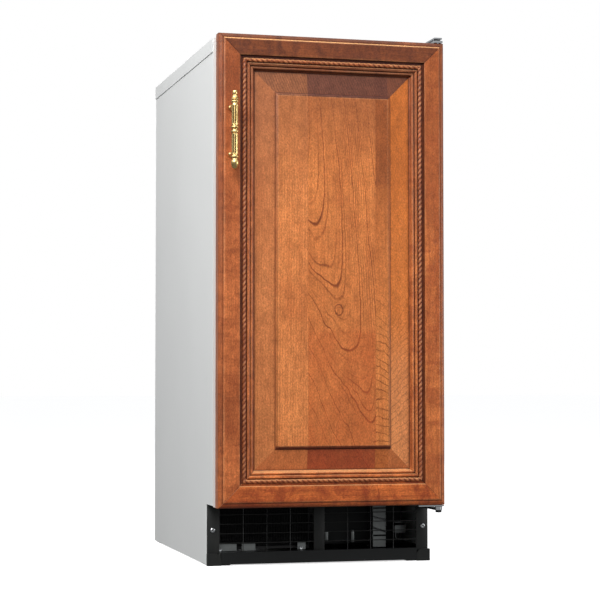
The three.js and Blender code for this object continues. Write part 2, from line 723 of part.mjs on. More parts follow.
function cordGland() {
  const profile = [[4, 0], [8, 0], [8, 9], [12, 9], [12, 13], [7, 20], [4, 20], [4, 0]];
  return turned(profile, 'y', GLAND.x, 279.5, GLAND.z, 16);
}

// ---- assembly ----

for (const [name, side] of [['left', -1], ['right', 1]]) {
  add(`side_panel_${name}`, sidePanel(side), finish.shell);
  add(`foot_front_${name}`, frontFoot(side), finish.black);
  add(`foot_back_${name}`, backFoot(side), finish.black);
  add(`grille_screw_${name}`, grilleScrew(side), finish.chrome);
}
add('top_cap', topCap(), finish.shell);
add('face_frame', faceFrame(), finish.shell);
add('back_panel', backPanel(), finish.shell);
add('rear_cover', rearCover(), finish.zinc);
add('base_tray', baseTray(), finish.black);
add('front_grille', frontGrille(), finish.black);
add('cabinet_insulation', cabinetInsulation(), finish.foam);
add('bin_liner', binLiner(), finish.white);
add('ice_scoop', iceScoop(), finish.polymer);

add('hinge_bracket_top', hingeBracketTop(), finish.chrome);
add('hinge_bracket_bottom', hingeBracketBottom(), finish.black);
add('hinge_pin_top', rod('z', PIVOT_X, PIVOT_Y, PIN_RADIUS, 854.6, 862.6), finish.chrome);
add('hinge_pin_bottom', hingePinBottom(), finish.black);
add('hinge_plate_top', hingePlateTop(), finish.chrome);
add('hinge_plate_bottom', hingePlateBottom(), finish.chrome);

add('door_shell', doorShell(), finish.shell);
add('door_liner', doorLiner(), finish.white);
add('door_insulation', doorInsulation(), finish.foam);
add('door_gasket', doorGasket(), finish.rubber);
doorFrame();
add('rope_moulding', ropeMoulding(), finish.cherry);
add('raised_panel', raisedPanel(), finish.cherry);
add('handle_bar', handleBar(), finish.brass);
HANDLE.posts.forEach((z, i) => add(`handle_post_${i ? 'upper' : 'lower'}`, handlePost(z), finish.brass));

add('evaporator', evaporator(), finish.zinc);
add('evaporator_coil', evaporatorCoil(), finish.copper);
add('evaporator_frame', evaporatorFrame(), finish.zinc);
add('water_plate', waterPlate(), finish.white);
add('water_tank', waterTank(), finish.polymer);
add('pump_motor', pumpMotor(), finish.black);
add('actuator_motor', actuatorMotor(), finish.zinc);
add('cam_arm', camArm(), finish.white);
add('bin_control', binControl(), finish.white);
add('bin_lever', binLever(), finish.zinc);

add('compressor', compressor(), finish.black);
add('condenser', condenser(), finish.black);
add('fan_shroud', fanShroud(), finish.zinc);
add('fan_blade', fanBlade(), finish.polymer);
add('fan_motor', fanMotor(), finish.black);
add('hot_gas_valve', hotGasValve(), finish.zinc);
add('control_box', controlBox(), finish.zinc);
add('power_switch', powerSwitch(), finish.polymer);
add('discharge_line', dischargeLine(), finish.copper);
add('suction_line', suctionLine(), finish.copper);
add('water_supply_tube', waterSupplyTube(), finish.polymer);
add('water_valve', waterValve(), finish.polymer);
add('drain_outlet', drainOutlet(), finish.polymer);
add('cord_gland', cordGland(), finish.black);

export default machine;
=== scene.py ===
# Looks for a slim under-counter ice maker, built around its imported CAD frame.
# +Z is up and the door faces -Y. Shapes are worked out in millimetres and stored in metres.
import json
import math

import bmesh
import bpy
from mathutils import Matrix, Vector


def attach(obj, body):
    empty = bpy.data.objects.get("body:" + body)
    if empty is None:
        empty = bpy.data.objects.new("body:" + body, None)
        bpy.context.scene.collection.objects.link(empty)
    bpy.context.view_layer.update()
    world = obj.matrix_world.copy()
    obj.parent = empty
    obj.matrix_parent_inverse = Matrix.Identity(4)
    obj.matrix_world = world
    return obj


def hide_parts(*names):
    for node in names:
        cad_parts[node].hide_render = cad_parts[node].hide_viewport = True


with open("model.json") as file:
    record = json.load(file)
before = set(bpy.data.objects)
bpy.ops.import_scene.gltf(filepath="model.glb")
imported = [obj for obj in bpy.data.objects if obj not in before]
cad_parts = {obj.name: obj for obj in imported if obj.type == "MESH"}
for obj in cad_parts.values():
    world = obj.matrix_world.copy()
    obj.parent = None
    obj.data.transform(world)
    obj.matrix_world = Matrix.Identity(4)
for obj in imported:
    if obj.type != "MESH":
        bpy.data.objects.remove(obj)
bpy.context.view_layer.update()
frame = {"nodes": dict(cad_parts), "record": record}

MM = 0.001


# ---- camera, stage and light ----

def make_camera():
    data = bpy.data.cameras.new("camera")
    data.lens = 108.4
    data.sensor_width = 36
    camera = bpy.data.objects.new("camera", data)
    camera.location = (-0.79644, -3.05871, 0.30076)
    camera.rotation_euler = (math.radians(90 + 2.527), 0, math.radians(-14.862))
    bpy.context.scene.collection.objects.link(camera)
    bpy.context.scene.camera = camera


def area_light(name, location, target, size, power):
    data = bpy.data.lights.new(name, "AREA")
    data.shape = "RECTANGLE"
    data.size, data.size_y = size
    data.energy = power
    light = bpy.data.objects.new(name, data)
    light.location = location
    light.rotation_euler = (Vector(target) - Vector(location)).to_track_quat("-Z", "Y").to_euler()
    bpy.context.scene.collection.objects.link(light)


def make_world():
    world = bpy.data.worlds.new("studio")
    world.use_nodes = True
    tree = world.node_tree
    tree.nodes.clear()
    new = tree.nodes.new
    out, mix, path = new("ShaderNodeOutputWorld"), new("ShaderNodeMixShader"), new("ShaderNodeLightPath")
    seen, glow = new("ShaderNodeBackground"), new("ShaderNodeBackground")
    seen.inputs[0].default_value = (1, 1, 1, 1)
    seen.inputs[1].default_value = 1.0
    glow.inputs[0].default_value = (0.97, 0.985, 1.0, 1)
    # The light that reaches the object is brighter from above than from the floor's side.
    coord, split, ramp = new("ShaderNodeTexCoord"), new("ShaderNodeSeparateXYZ"), new("ShaderNodeMapRange")
    for socket, value in (("From Min", -0.2), ("From Max", 0.9), ("To Min", 0.12), ("To Max", 0.48)):
        ramp.inputs[socket].default_value = value
    # Polished surfaces mirror the white walls around the stage, so they get more of it.
    lift, scaled = new("ShaderNodeMath"), new("ShaderNodeMath")
    lift.operation = "MULTIPLY_ADD"
    lift.inputs[1].default_value = 0.9
    lift.inputs[2].default_value = 1.0
    scaled.operation = "MULTIPLY"
    for source, socket in (
        (path.outputs["Is Glossy Ray"], lift.inputs[0]),
        (ramp.outputs[0], scaled.inputs[0]),
        (lift.outputs[0], scaled.inputs[1]),
        (coord.outputs["Generated"], split.inputs[0]),
        (split.outputs["Z"], ramp.inputs["Value"]),
        (scaled.outputs[0], glow.inputs[1]),
        (path.outputs["Is Camera Ray"], mix.inputs[0]),
        (glow.outputs[0], mix.inputs[1]),
        (seen.outputs[0], mix.inputs[2]),
        (mix.outputs[0], out.inputs[0]),
    ):
        tree.links.new(source, socket)
    bpy.context.scene.world = world


# ---- materials ----

def srgb(r, g, b):
    """A colour from display values 0 to 255 as linear RGBA."""
    def linear(c):
        c /= 255
        return c / 12.92 if c <= 0.04045 else ((c + 0.055) / 1.055) ** 2.4
    return (linear(r), linear(g), linear(b), 1)


def darker(colour, factor):
    return tuple(c * factor for c in colour[:3]) + (1,)


class Surface:
    """A node material around one Principled shader."""

    def __init__(self, name, roughness=0.5, metallic=0.0, **sockets):
        self.material = bpy.data.materials.new(name)
        self.material.use_nodes = True
        self.tree = self.material.node_tree
        self.tree.nodes.clear()
        out = self.tree.nodes.new("ShaderNodeOutputMaterial")
        self.shader = self.tree.nodes.new("ShaderNodeBsdfPrincipled")
        self.tree.links.new(self.shader.outputs[0], out.inputs[0])
        self.shader.inputs["Roughness"].default_value = roughness
        self.shader.inputs["Metallic"].default_value = metallic
        for socket, value in sockets.items():
            self.shader.inputs[socket.replace("_", " ")].default_value = value
        self.normal = None
        self.coord = self.node("ShaderNodeTexCoord").outputs["Object"]

    def node(self, kind, inputs=None, **settings):
        made = self.tree.nodes.new(kind)
        for name, value in settings.items():
            setattr(made, name, value)
        for key, value in (inputs or {}).items():
            self.feed(value, made.inputs[key])
        return made

    def feed(self, value, socket):
        if isinstance(value, bpy.types.NodeSocket):
            self.tree.links.new(value, socket)
        else:
            socket.default_value = value

    def stretch(self, scale, offset=(0, 0, 0), turn=(0, 0, 0), source=None):
        """Coordinates in metres, turned and then scaled."""
        turned = self.node("ShaderNodeMapping", {0: source or self.coord, 1: offset, 2: turn})
        return self.node("ShaderNodeMapping", {0: turned.outputs[0], 3: scale}).outputs[0]

    def noise(self, scale, detail=3.0, rough=0.5, bend=0.0, offset=(0, 0, 0), source=None):
        """Noise with that many features per metre along each axis."""
        vector = self.stretch(scale if hasattr(scale, "__len__") else (scale,) * 3, offset, source=source)
        return self.node("ShaderNodeTexNoise", {
            "Vector": vector, "Scale": 1.0, "Detail": detail, "Roughness": rough, "Distortion": bend,
        }).outputs[0]

    def cells(self, scale, output):
        """Grains or crystals, with that many per metre."""
        vector = self.stretch((scale,) * 3)
        return self.node("ShaderNodeTexVoronoi", {"Vector": vector, "Scale": 1.0}).outputs[output]

    def math(self, operation, *values):
        return self.node("ShaderNodeMath", dict(enumerate(values)), operation=operation).outputs[0]

    def times(self, a, b):
        return self.math("MULTIPLY", a, b)

    def scaled(self, value, factor, offset):
        return self.math("MULTIPLY_ADD", value, factor, offset)

    def plus(self, a, b):
        return self.math("ADD", a, b)

    def minus(self, a, b):
        return self.math("SUBTRACT", a, b)

    def divided(self, a, b):
        return self.math("DIVIDE", a, b)

    def nudged(self, value, noise, amount):
        """The value moved to either side by a noise whose middle is one half."""
        return self.scaled(self.minus(noise, 0.5), amount, value)

    def grey(self, tone):
        return self.node("ShaderNodeCombineColor", {0: tone, 1: tone, 2: tone}).outputs[0]

    def span(self, value, low, high, to_low=0.0, to_high=1.0, smooth=True):
        """Maps low..high to to_low..to_high and stops at the ends."""
        return self.node("ShaderNodeMapRange", {
            0: value, 1: low, 2: high, 3: to_low, 4: to_high,
        }, interpolation_type="SMOOTHSTEP" if smooth else "LINEAR").outputs[0]

    def mix(self, factor, a, b, blend="MIX"):
        made = self.node("ShaderNodeMix", data_type="RGBA", blend_type=blend)
        self.feed(factor, made.inputs[0])
        self.feed(a, made.inputs[6])
        self.feed(b, made.inputs[7])
        return made.outputs[2]

    def axis(self, letter, source=None):
        split = self.node("ShaderNodeSeparateXYZ", {0: source or self.coord})
        return split.outputs[letter]

    def attribute(self, name):
        return self.node("ShaderNodeAttribute", attribute_name=name).outputs["Fac"]

    def colour(self, value):
        self.feed(value, self.shader.inputs["Base Color"])

    def roughness(self, value):
        self.feed(value, self.shader.inputs["Roughness"])

    def bump(self, height, strength, distance):
        inputs = {"Height": height, "Strength": strength, "Distance": distance}
        if self.normal:
            inputs["Normal"] = self.normal
        self.normal = self.node("ShaderNodeBump", inputs).outputs[0]
        self.feed(self.normal, self.shader.inputs["Normal"])


def enamel(name, tint, roughness=0.42, grain=900, relief=0.00006, mottle=0.03, **sockets):
    """Sprayed paint: fine orange peel, slight unevenness of tone and a few rubbed spots."""
    s = Surface(name, roughness, **sockets)
    broad = s.noise(7, 3)
    fine = s.noise(grain, 2)
    tone = s.scaled(broad, mottle * 2, 1 - mottle)
    tone = s.scaled(fine, mottle * 1.4, tone)
    s.colour(s.mix(1.0, tint, s.grey(tone), "MULTIPLY"))
    scuffs = s.span(s.noise(55, 4, 0.6), 0.55, 0.75)
    s.roughness(s.scaled(scuffs, 0.12, s.scaled(broad, 0.1, roughness - 0.05)))
    s.bump(fine, 0.55, relief)
    s.bump(s.noise(14, 2), 0.12, 0.0012)
    return s.material


def plate(name, tint, roughness=0.3, brushed=False, spread=0.08, relief=0.00002, **sockets):
    """Metal: brushed across or plain, with stains in tone and roughness."""
    s = Surface(name, roughness, 1.0, **sockets)
    scale = (12, 1500, 1500) if brushed else (420, 420, 420)
    lines = s.noise(scale, 3, 0.6)
    stains = s.noise(22, 4, 0.6)
    dark = darker(tint, 0.72)
    s.colour(s.mix(s.span(stains, 0.3, 0.7), dark, tint))
    s.roughness(s.scaled(lines, spread, s.scaled(stains, spread, roughness - spread)))
    s.bump(lines, 0.5, relief)
    return s.material


def galvanised(name, tint):
    """Zinc-coated sheet with its crystals."""
    s = Surface(name, 0.4, 1.0)
    tone = s.axis("X", s.cells(140, "Color"))
    dark = darker(tint, 0.86)
    s.colour(s.mix(tone, dark, tint))
    s.roughness(s.scaled(tone, 0.07, s.scaled(s.noise(30, 4), 0.1, 0.4)))
    s.bump(s.noise(300, 3), 0.3, 0.00004)
    return s.material


def plastic(name, tint, roughness=0.45, grain=1400, relief=0.00004, dust=0.0, **sockets):
    """Moulded plastic: spark-eroded grain, faint flow marks and a little dust where wanted."""
    s = Surface(name, roughness, **sockets)
    broad = s.noise((9, 9, 22), 3)
    fine = s.noise(grain, 2)
    shade = darker(tint, 0.86)
    base = s.mix(s.span(broad, 0.3, 0.7), shade, tint)
    if dust:
        base = s.mix(s.times(s.span(s.noise(35, 5, 0.65), 0.45, 0.75), dust), base, srgb(150, 146, 138))
    s.colour(base)
    s.roughness(s.scaled(s.noise(60, 4, 0.6), 0.16, roughness - 0.08))
    s.bump(fine, 0.5, relief)
    return s.material


def foam(name, tint):
    s = Surface(name, 0.9)
    cells = s.cells(650, "Distance")
    s.colour(s.mix(s.noise(40, 4), darker(tint, 0.8), tint))
    s.bump(cells, 0.8, 0.0004)
    return s.material


class Wood(Surface):
    """Stained cherry. Its own coordinates are (across, depth, along the grain), in metres."""

    def __init__(self, name, along="Z", **sockets):
        super().__init__(name, 0.36, Specular_IOR_Level=0.32, **sockets)
        order = {"Z": "XYZ", "X": "ZYX", "Y": "XZY"}[along]
        split = self.node("ShaderNodeSeparateXYZ", {0: self.coord})
        self.grain = self.node("ShaderNodeCombineXYZ", {
            i: split.outputs[letter] for i, letter in enumerate(order)
        }).outputs[0]

    def rings(self, pith, tilt, spacing, waver=0.004, seed=0.0):
        """Growth rings cut by the surface: a saw-tooth that rises slowly and drops at each late-wood line."""
        seeded = (seed, seed * 0.7, seed * 1.3)
        soft = self.noise((9, 9, 2.2), 2, 0.5, offset=seeded, source=self.grain)
        fret = self.noise((60, 60, 14), 3, 0.6, offset=seeded, source=self.grain)
        x, y, z = (self.axis(a, self.grain) for a in "XYZ")
        across = self.scaled(z, tilt[0], self.minus(x, pith[0]))
        depth = self.scaled(z, tilt[1], self.minus(y, pith[1]))
        radius = self.math("SQRT", self.plus(self.times(across, across), self.times(depth, depth)))
        radius = self.nudged(radius, soft, waver * 6)
        radius = self.nudged(radius, fret, waver * 0.7)
        return self.math("FRACT", self.divided(radius, spacing))

    def arches(self, apex, lean, open_, round_, spacing, waver, seed=0.0):
        """Nested arches of a flat-sawn board, as a count of rings: apex (x, z), all in metres."""
        seeded = (seed, seed * 0.7, seed * 1.3)
        soft = self.noise((22, 22, 9), 2, 0.5, offset=seeded, source=self.grain)
        fret = self.noise((110, 110, 60), 3, 0.65, offset=seeded, source=self.grain)
        x, z = self.axis("X", self.grain), self.axis("Z", self.grain)
        rise = self.minus(z, apex[1])
        u = self.minus(self.scaled(rise, lean, x), apex[0])
        u = self.nudged(u, soft, waver * 1.5)
        u = self.nudged(u, fret, waver * 0.3)
        reach = self.math("SQRT", self.scaled(u, u, round_ * round_))
        fall = self.divided(self.minus(reach, round_), open_)
        level = self.minus(rise, fall)
        level = self.nudged(level, soft, waver * 4.0)
        return self.divided(level, spacing)

    def lines(self, count, width, fuzz=0.5):
        """1 on each whole count, 0 between: a sharp side and a soft side, as late wood has."""
        part = self.math("FRACT", count)
        return self.math("MAXIMUM", self.span(part, 1 - width, 0.99), self.span(part, width * fuzz, 0.0))

    def stain(self, light, dark, line, ring, seed=0.0, line_width=0.16, line_strength=0.6, blotch=0.5):
        """Colour of one board: body tone, late-wood lines, fibres, pores and cloudy stain."""
        seeded = (seed, seed * 1.7, seed * 0.6)
        cloud = self.noise((16, 16, 7), 4, 0.55, 0.4, seeded, self.grain)
        fibre = self.noise((900, 900, 60), 3, 0.65, 0.0, seeded, self.grain)
        streak = self.noise((150, 150, 2.5), 3, 0.6, 0.0, seeded, self.grain)
        flame = self.noise((14, 14, 60), 3, 0.6, 0.8, seeded, self.grain)
        body = self.mix(self.span(cloud, 0.32, 0.72, 0, blotch), light, dark)
        body = self.mix(self.span(streak, 0.35, 0.7, 0, 0.3), body, dark)
        rise = self.math("POWER", ring, 3.0)
        body = self.mix(self.times(rise, 0.22), body, dark)
        edge = self.times(self.span(ring, 1 - line_width, 0.985), line_strength)
        body = self.mix(edge, body, line)
        body = self.mix(self.span(flame, 0.45, 0.75, 0, blotch * 0.55), body, dark)
        body = self.mix(self.span(fibre, 0.48, 0.7, 0, 0.42), body, line)
        return body

    def finish(self, body, glaze=0.85, top_rub=0.0, rub_depth=12.0):
        """Dark glazing with painted shade in the recesses, rubbed edges with painted highlights, lacquer
        sheen and pores.

        The top highlight option paints a highlight on what faces up, to the given depth behind the face."""
        # Painted shade together with glazing: marked recesses darken towards a deep red-brown.
        recess = self.attribute("glaze")
        rubbed = self.noise((70, 70, 30), 3, 0.6, source=self.grain)
        held = self.times(recess, self.span(rubbed, 0.2, 0.7, glaze * 0.8, glaze))
        body = self.mix(held, body, srgb(62, 22, 14))
        # Rubbed wear and painted highlights: marked edges and strand tops lighten towards a pale orange.
        worn = self.times(self.attribute("wear"), self.span(rubbed, 0.35, 0.65, 0.1, 0.5))
        body = self.mix(worn, body, srgb(222, 156, 104))
        # Painted highlight: surfaces that face up, near the face, lighten towards a pale orange.
        if top_rub:
            up = self.axis("Z", self.node("ShaderNodeNewGeometry").outputs["Normal"])
            end = FACE + rub_depth
            depth = self.span(self.axis("Y"), (end - 1) * MM, end * MM, top_rub, 0)
            body = self.mix(self.times(self.span(up, 0.3, 0.8), depth), body, srgb(236, 176, 118))
        # Fine mottle of the open cherry grain under the stain.
        speck = self.noise((560, 560, 340), 2, 0.6, source=self.grain)
        tone = self.span(speck, 0.3, 0.7, 0.7, 1.26, False)
        patch = self.noise((90, 90, 45), 3, 0.6, source=self.grain)
        tone = self.times(tone, self.span(patch, 0.3, 0.7, 0.88, 1.1))
        self.colour(self.mix(1.0, body, self.grey(tone), "MULTIPLY"))
        pores = self.span(self.noise((1500, 1500, 60), 2, 0.5, source=self.grain), 0.56, 0.7)
        self.roughness(self.scaled(pores, 0.14, self.scaled(rubbed, 0.12, 0.3)))
        self.bump(self.minus(1.0, pores), 0.35, 0.00012)
        self.bump(self.noise((420, 420, 14), 3, 0.6, source=self.grain), 0.2, 0.0001)
        return self.material


def frame_wood(name, along, light, dark, seed, shade, shade_strength, **rub):
    """Wood of one length of the frame; shade gives the two heights or widths between which it darkens."""
    w = Wood(name, along)
    ring = w.rings((0.35 + seed * 0.01, 0.3), (0.012, -0.006), 0.0042, 0.0035, seed)
    body = w.stain(light, dark, srgb(84, 32, 16), ring, seed, 0.3, 0.14, 0.95)
    patches = w.noise((26, 26, 60), 4, 0.62, 0.6, (seed, seed, seed), w.grain)
    body = w.mix(w.span(patches, 0.45, 0.64, 0, 0.7), body, dark)
    far = w.span(w.axis("Z", w.grain), shade[0], shade[1], 0, shade_strength)
    return w.finish(w.mix(far, body, darker(dark, 0.72)), **rub)


# ---- shapes ----

class Shape:
    """Collects closed pieces of surface in millimetres and turns them into one object."""

    def __init__(self):
        self.points, self.faces, self.marks = [], [], {"glaze": [], "wear": []}

    def add(self, points, faces, glaze=None, wear=None):
        base = len(self.points)
        self.points += [tuple(p) for p in points]
        self.faces += [tuple(base + i for i in f) for f in faces]
        self.marks["glaze"] += list(glaze) if glaze is not None else [0.0] * len(points)
        self.marks["wear"] += list(wear) if wear is not None else [0.0] * len(points)
        return self

    def skin(self, rings, loop=False, **marks):
        """Closed surface through rings of equal count, capped unless the rings join up."""
        n = len(rings[0])
        points = [p for ring in rings for p in ring]
        faces = []
        count = len(rings) if loop else len(rings) - 1
        for r in range(count):
            a, b = r * n, ((r + 1) % len(rings)) * n
            for i in range(n):
                j = (i + 1) % n
                faces.append((a + i, a + j, b + j, b + i))
        if not loop:
            faces.append(tuple(range(n))[::-1])
            faces.append(tuple((len(rings) - 1) * n + i for i in range(n)))
        return self.add(points, faces, **marks)

    def lathe(self, profile, axis, centre, sides=40, shape=None, **marks):
        """Turned piece: profile points are (radius, height) from one pole to the other."""
        cx, cy, cz = centre
        points, faces, rows = [], [], []
        for r, h in profile:
            row = []
            for i in range(1 if r == 0 else sides):
                turn = 2 * math.pi * i / sides
                radius = shape(r, h, turn) if shape and r else r
                u, v = radius * math.cos(turn), radius * math.sin(turn)
                place = {"z": (u, v, h), "y": (u, h, v), "x": (h, u, v)}[axis]
                row.append(len(points))
                points.append((cx + place[0], cy + place[1], cz + place[2]))
            rows.append(row)
        for a, b in zip(rows, rows[1:]):
            for i in range(sides):
                j = (i + 1) % sides
                if len(a) == 1 and len(b) > 1:
                    faces.append((a[0], b[i], b[j]))
                elif len(b) == 1 and len(a) > 1:
                    faces.append((a[i], a[j], b[0]))
                elif len(a) > 1:
                    faces.append((a[i], a[j], b[j], b[i]))
        return self.add(points, faces, **marks)

    def box(self, x0, x1, y0, y1, z0, z1, edge=0.6, segments=2, turn=None, about=None):
        """A block with rounded edges, turned if wanted by a matrix about a point."""
        bm = bmesh.new()
        bmesh.ops.create_cube(bm, size=1)
        size = Vector((x1 - x0, y1 - y0, z1 - z0))
        middle = Vector(((x0 + x1) / 2, (y0 + y1) / 2, (z0 + z1) / 2))
        for v in bm.verts:
            v.co = Vector((v.co[k] * size[k] for k in range(3))) + middle
        if edge:
            bmesh.ops.bevel(bm, geom=bm.edges[:], offset=min(edge, min(size) * 0.45), segments=segments,
                            profile=0.5, affect="EDGES")
        if turn is not None:
            centre = Vector(about)
            for v in bm.verts:
                v.co = turn @ (v.co - centre) + centre
        bm.verts.ensure_lookup_table()
        points = [tuple(v.co) for v in bm.verts]
        faces = [tuple(v.index for v in f.verts) for f in bm.faces]
        bm.free()
        return self.add(points, faces)

    def tube(self, route, radius, bend=10, sides=16, step=3.0):
        """A round bar or pipe along a route with rounded corners."""
        line = rounded(route, bend, step)
        rings, side = [], None
        for i, p in enumerate(line):
            ahead = (line[min(i + 1, len(line) - 1)] - line[max(i - 1, 0)]).normalized()
            if side is None:
                side = ahead.orthogonal().normalized()
            side = (side - ahead * side.dot(ahead)).normalized()
            up = ahead.cross(side)
            rings.append([p + (side * math.cos(t) + up * math.sin(t)) * radius
                          for t in (2 * math.pi * k / sides for k in range(sides))])
        return self.skin(rings)

    def done(self, name, body, look, stands_for=(), sharp=35, slot=None):
        """Makes the object. The look is the name of a finish and of its slot, or a material. The slot
        argument is not used.
        """
        mesh = bpy.data.meshes.new(name)
        mesh.from_pydata([tuple(c * MM for c in p) for p in self.points], [], self.faces)
        bm = bmesh.new()
        bm.from_mesh(mesh)
        bmesh.ops.recalc_face_normals(bm, faces=bm.faces)
        bm.to_mesh(mesh)
        bm.free()
        for label, values in self.marks.items():
            if any(values):
                mesh.attributes.new(label, "FLOAT", "POINT").data.foreach_set("value", values)
        mesh.shade_smooth()
        mesh.set_sharp_from_angle(angle=math.radians(sharp))
        mesh.materials.append(finishes[look] if isinstance(look, str) else look)
        piece = bpy.data.objects.new(name, mesh)
        bpy.context.scene.collection.objects.link(piece)
        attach(piece, body)
        if stands_for:
            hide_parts(*([stands_for] if isinstance(stands_for, str) else stands_for))
        return piece


def corners(half, bottom, top, radius, steps):
    """Centre and direction (x, z, cosine, sine) for each point round a rectangle's four round corners."""
    right, left, low, high = half - radius, radius - half, bottom + radius, top - radius
    return [(cx, cz, math.cos(t), math.sin(t))
            for cx, cz, start in ((right, low, -90), (right, high, 0), (left, high, 90), (left, low, 180))
            for t in (math.radians(start + 90 / steps * k) for k in range(steps + 1))]


def rim(half, bottom, top, y, radius):
    """The outline of a rectangle with round corners, standing at depth y."""
    return [(cx + radius * c, y, cz + radius * s) for cx, cz, c, s in corners(half, bottom, top, radius, 6)]


def rounded(route, bend, step):
    """Points along a route whose corners are rounded, about one step apart."""
    route = [Vector(p) for p in route]
    line = [route[0]]

    def run(end):
        start = line[-1]
        count = max(1, round((end - start).length / (step * 6)))
        line.extend(start.lerp(end, k / count) for k in range(1, count + 1))

    for before, corner, after in zip(route, route[1:], route[2:]):
        reach = min(bend, (corner - before).length * 0.49, (after - corner).length * 0.49)
        enter = corner + (before - corner).normalized() * reach
        leave = corner + (after - corner).normalized() * reach
        run(enter)
        for k in range(1, 9):
            t = k / 8
            line.append(enter * (1 - t) ** 2 + corner * 2 * t * (1 - t) + leave * t * t)
    run(route[-1])
    return line


# ---- sizes that repeat the CAD's, in millimetres ----

HALF = 189.0
FACE = -270.0              # flat face of the wooden frame
WOOD_LOW, WOOD_HIGH = 97.6, 853.7
GRILLE_FACE = -180.6
PIVOT = (180.0, -259.0)
ROPE_INSET = 41.95
HANDLE = (-169.6, -297.5, 631.8)
POSTS = (657.7, 732.4)


def arc(centre, radii, start, end, count):
    """Points (inset, depth) on an ellipse; degrees from the inset axis towards greater depth."""
    steps = [math.radians(start + (end - start) * k / (count - 1)) for k in range(count)]
    return [(centre[0] + radii[0] * math.cos(t), centre[1] + radii[1] * math.sin(t)) for t in steps]


# Frame moulding from its outer edge inwards: (inset, depth behind the face, glazing with painted shade,
# rubbed edges with painted highlight).
def moulding():
    rows = [(0, 24, 0.3, 0), (0.25, 23.7, 0.1, 0.3), (0, 23.4, 0.1, 0.2), (0, 8.2, 0.1, 0.1)]
    rows += [(u, d, 0.3, 0.1) for u, d in arc((6.6, 7.4), (6.6, 5.0), 180, 268, 9)]
    rows += [(7.0, 2.5, 0.95, 0), (7.4, 2.2, 0.8, 0), (8.0, 1.2, 0.1, 0.5), (8.8, 0.35, 0.0, 0.65),
             (9.6, 0.02, 0, 0.4), (11, 0, 0, 0), (12, 0, 0, 0)]
    rows += [(31, 0, 0, 0), (33.6, 0, 0.05, 0.2), (34.2, 0.15, 0.15, 0.8), (34.5, 0.6, 0.5, 0.3)]
    rows += [(34.6, 4.3, 1, 0), (35, 4.8, 1, 0), (46.2, 4.8, 1, 0), (46.7, 4.3, 0.9, 0)]
    rows += [(46.8, 2.6, 0.5, 0.2)] + [(u, d, 0.1, 0.5) for u, d in arc((47.6, 2.6), (0.8, 0.8), 180, 270, 4)]
    rows += [(48.2, 1.8, 0.05, 0.1), (50, 1.9, 0.1, 0.2), (50.7, 2.3, 0.3, 0.4), (51, 3.2, 0.9, 0)]
    rows += [(51.3, 4.5, 1, 0), (51.9, 4.7, 1, 0), (52.3, 4.4, 0.8, 0)]
    rows += [(u, d, 0.1, 0.35) for u, d in arc((54.2, 4.3), (1.9, 1.7), 190, 350, 8)]
    rows += [(56.3, 4.8, 0.7, 0)] + [(u, d, 0.35, 0) for u, d in arc((59.2, 4.9), (2.7, 3.4), 180, 112, 6)]
    rows += [(59.1, 8.9, 0.9, 0), (59.1, 24, 0.9, 0)]
    return rows


def mitred(node, length, place, material):
    """One length of the frame; place turns (along, inset, depth) into a point."""
    joint, full_depth = 0.09, 24.0
    ends = [(joint, 0.2, 0.75), (0.3, 0.0, 0.4), (0.7, 0.0, 0.05), (4, 0, 0)]
    loops, glaze, wear = [], [], []
    for far, (step, back, dark) in [(False, end) for end in ends] + [(True, end) for end in ends[::-1]]:
        loop = []
        for inset, depth, g, w in moulding():
            near = inset + step * math.sqrt(2)
            loop.append(place(length - near if far else near, inset, FACE + min(full_depth, depth + back)))
            glaze.append(max(g, dark))
            wear.append(w)
        loops.append(loop)
    shape = Shape().skin(loops, glaze=glaze, wear=wear)
    shape.done("frame_" + node, "door", material, node, 30, slot="cherry")


def rope_run(shape, length, inset, place, way):
    """A twisted bead half sunk in its channel, mitred into the corners."""
    radius, pitch, sides, step = 3.15, 8.5, 20, 0.9
    inner = length - 2 * inset
    count = round(inner / step)
    loops, glaze, wear = [], [], []
    for k in range(count + 1):
        along = inset + inner * k / count
        loop = []
        for i in range(sides):
            turn = 2 * math.pi * i / sides
            lobe = abs(math.cos(turn - way * math.pi * (along - length / 2) / pitch)) ** 0.7
            r = radius * (0.74 + 0.26 * lobe)
            across, out = r * math.cos(turn), r * math.sin(turn)
            # At the ends the bead follows the mitre.
            slide = across * (1 if k == 0 else -1) if k in (0, count) else 0
            loop.append(place(along + slide, inset + across, FACE + 4.35 - out))
            # Painted shade between the strands and where the bead sinks into its channel, with glazing;
            # painted highlights on the strand tops.
            glaze.append(max(0.0, 1.0 - lobe * 1.25) + (0.8 if out < 0.6 else 0))
            wear.append(max(0.0, lobe * 2.4 - 1.5) if out > 1.2 else 0)
        loops.append(loop)
    shape.skin(loops, glaze=[min(1.0, g) for g in glaze], wear=wear)


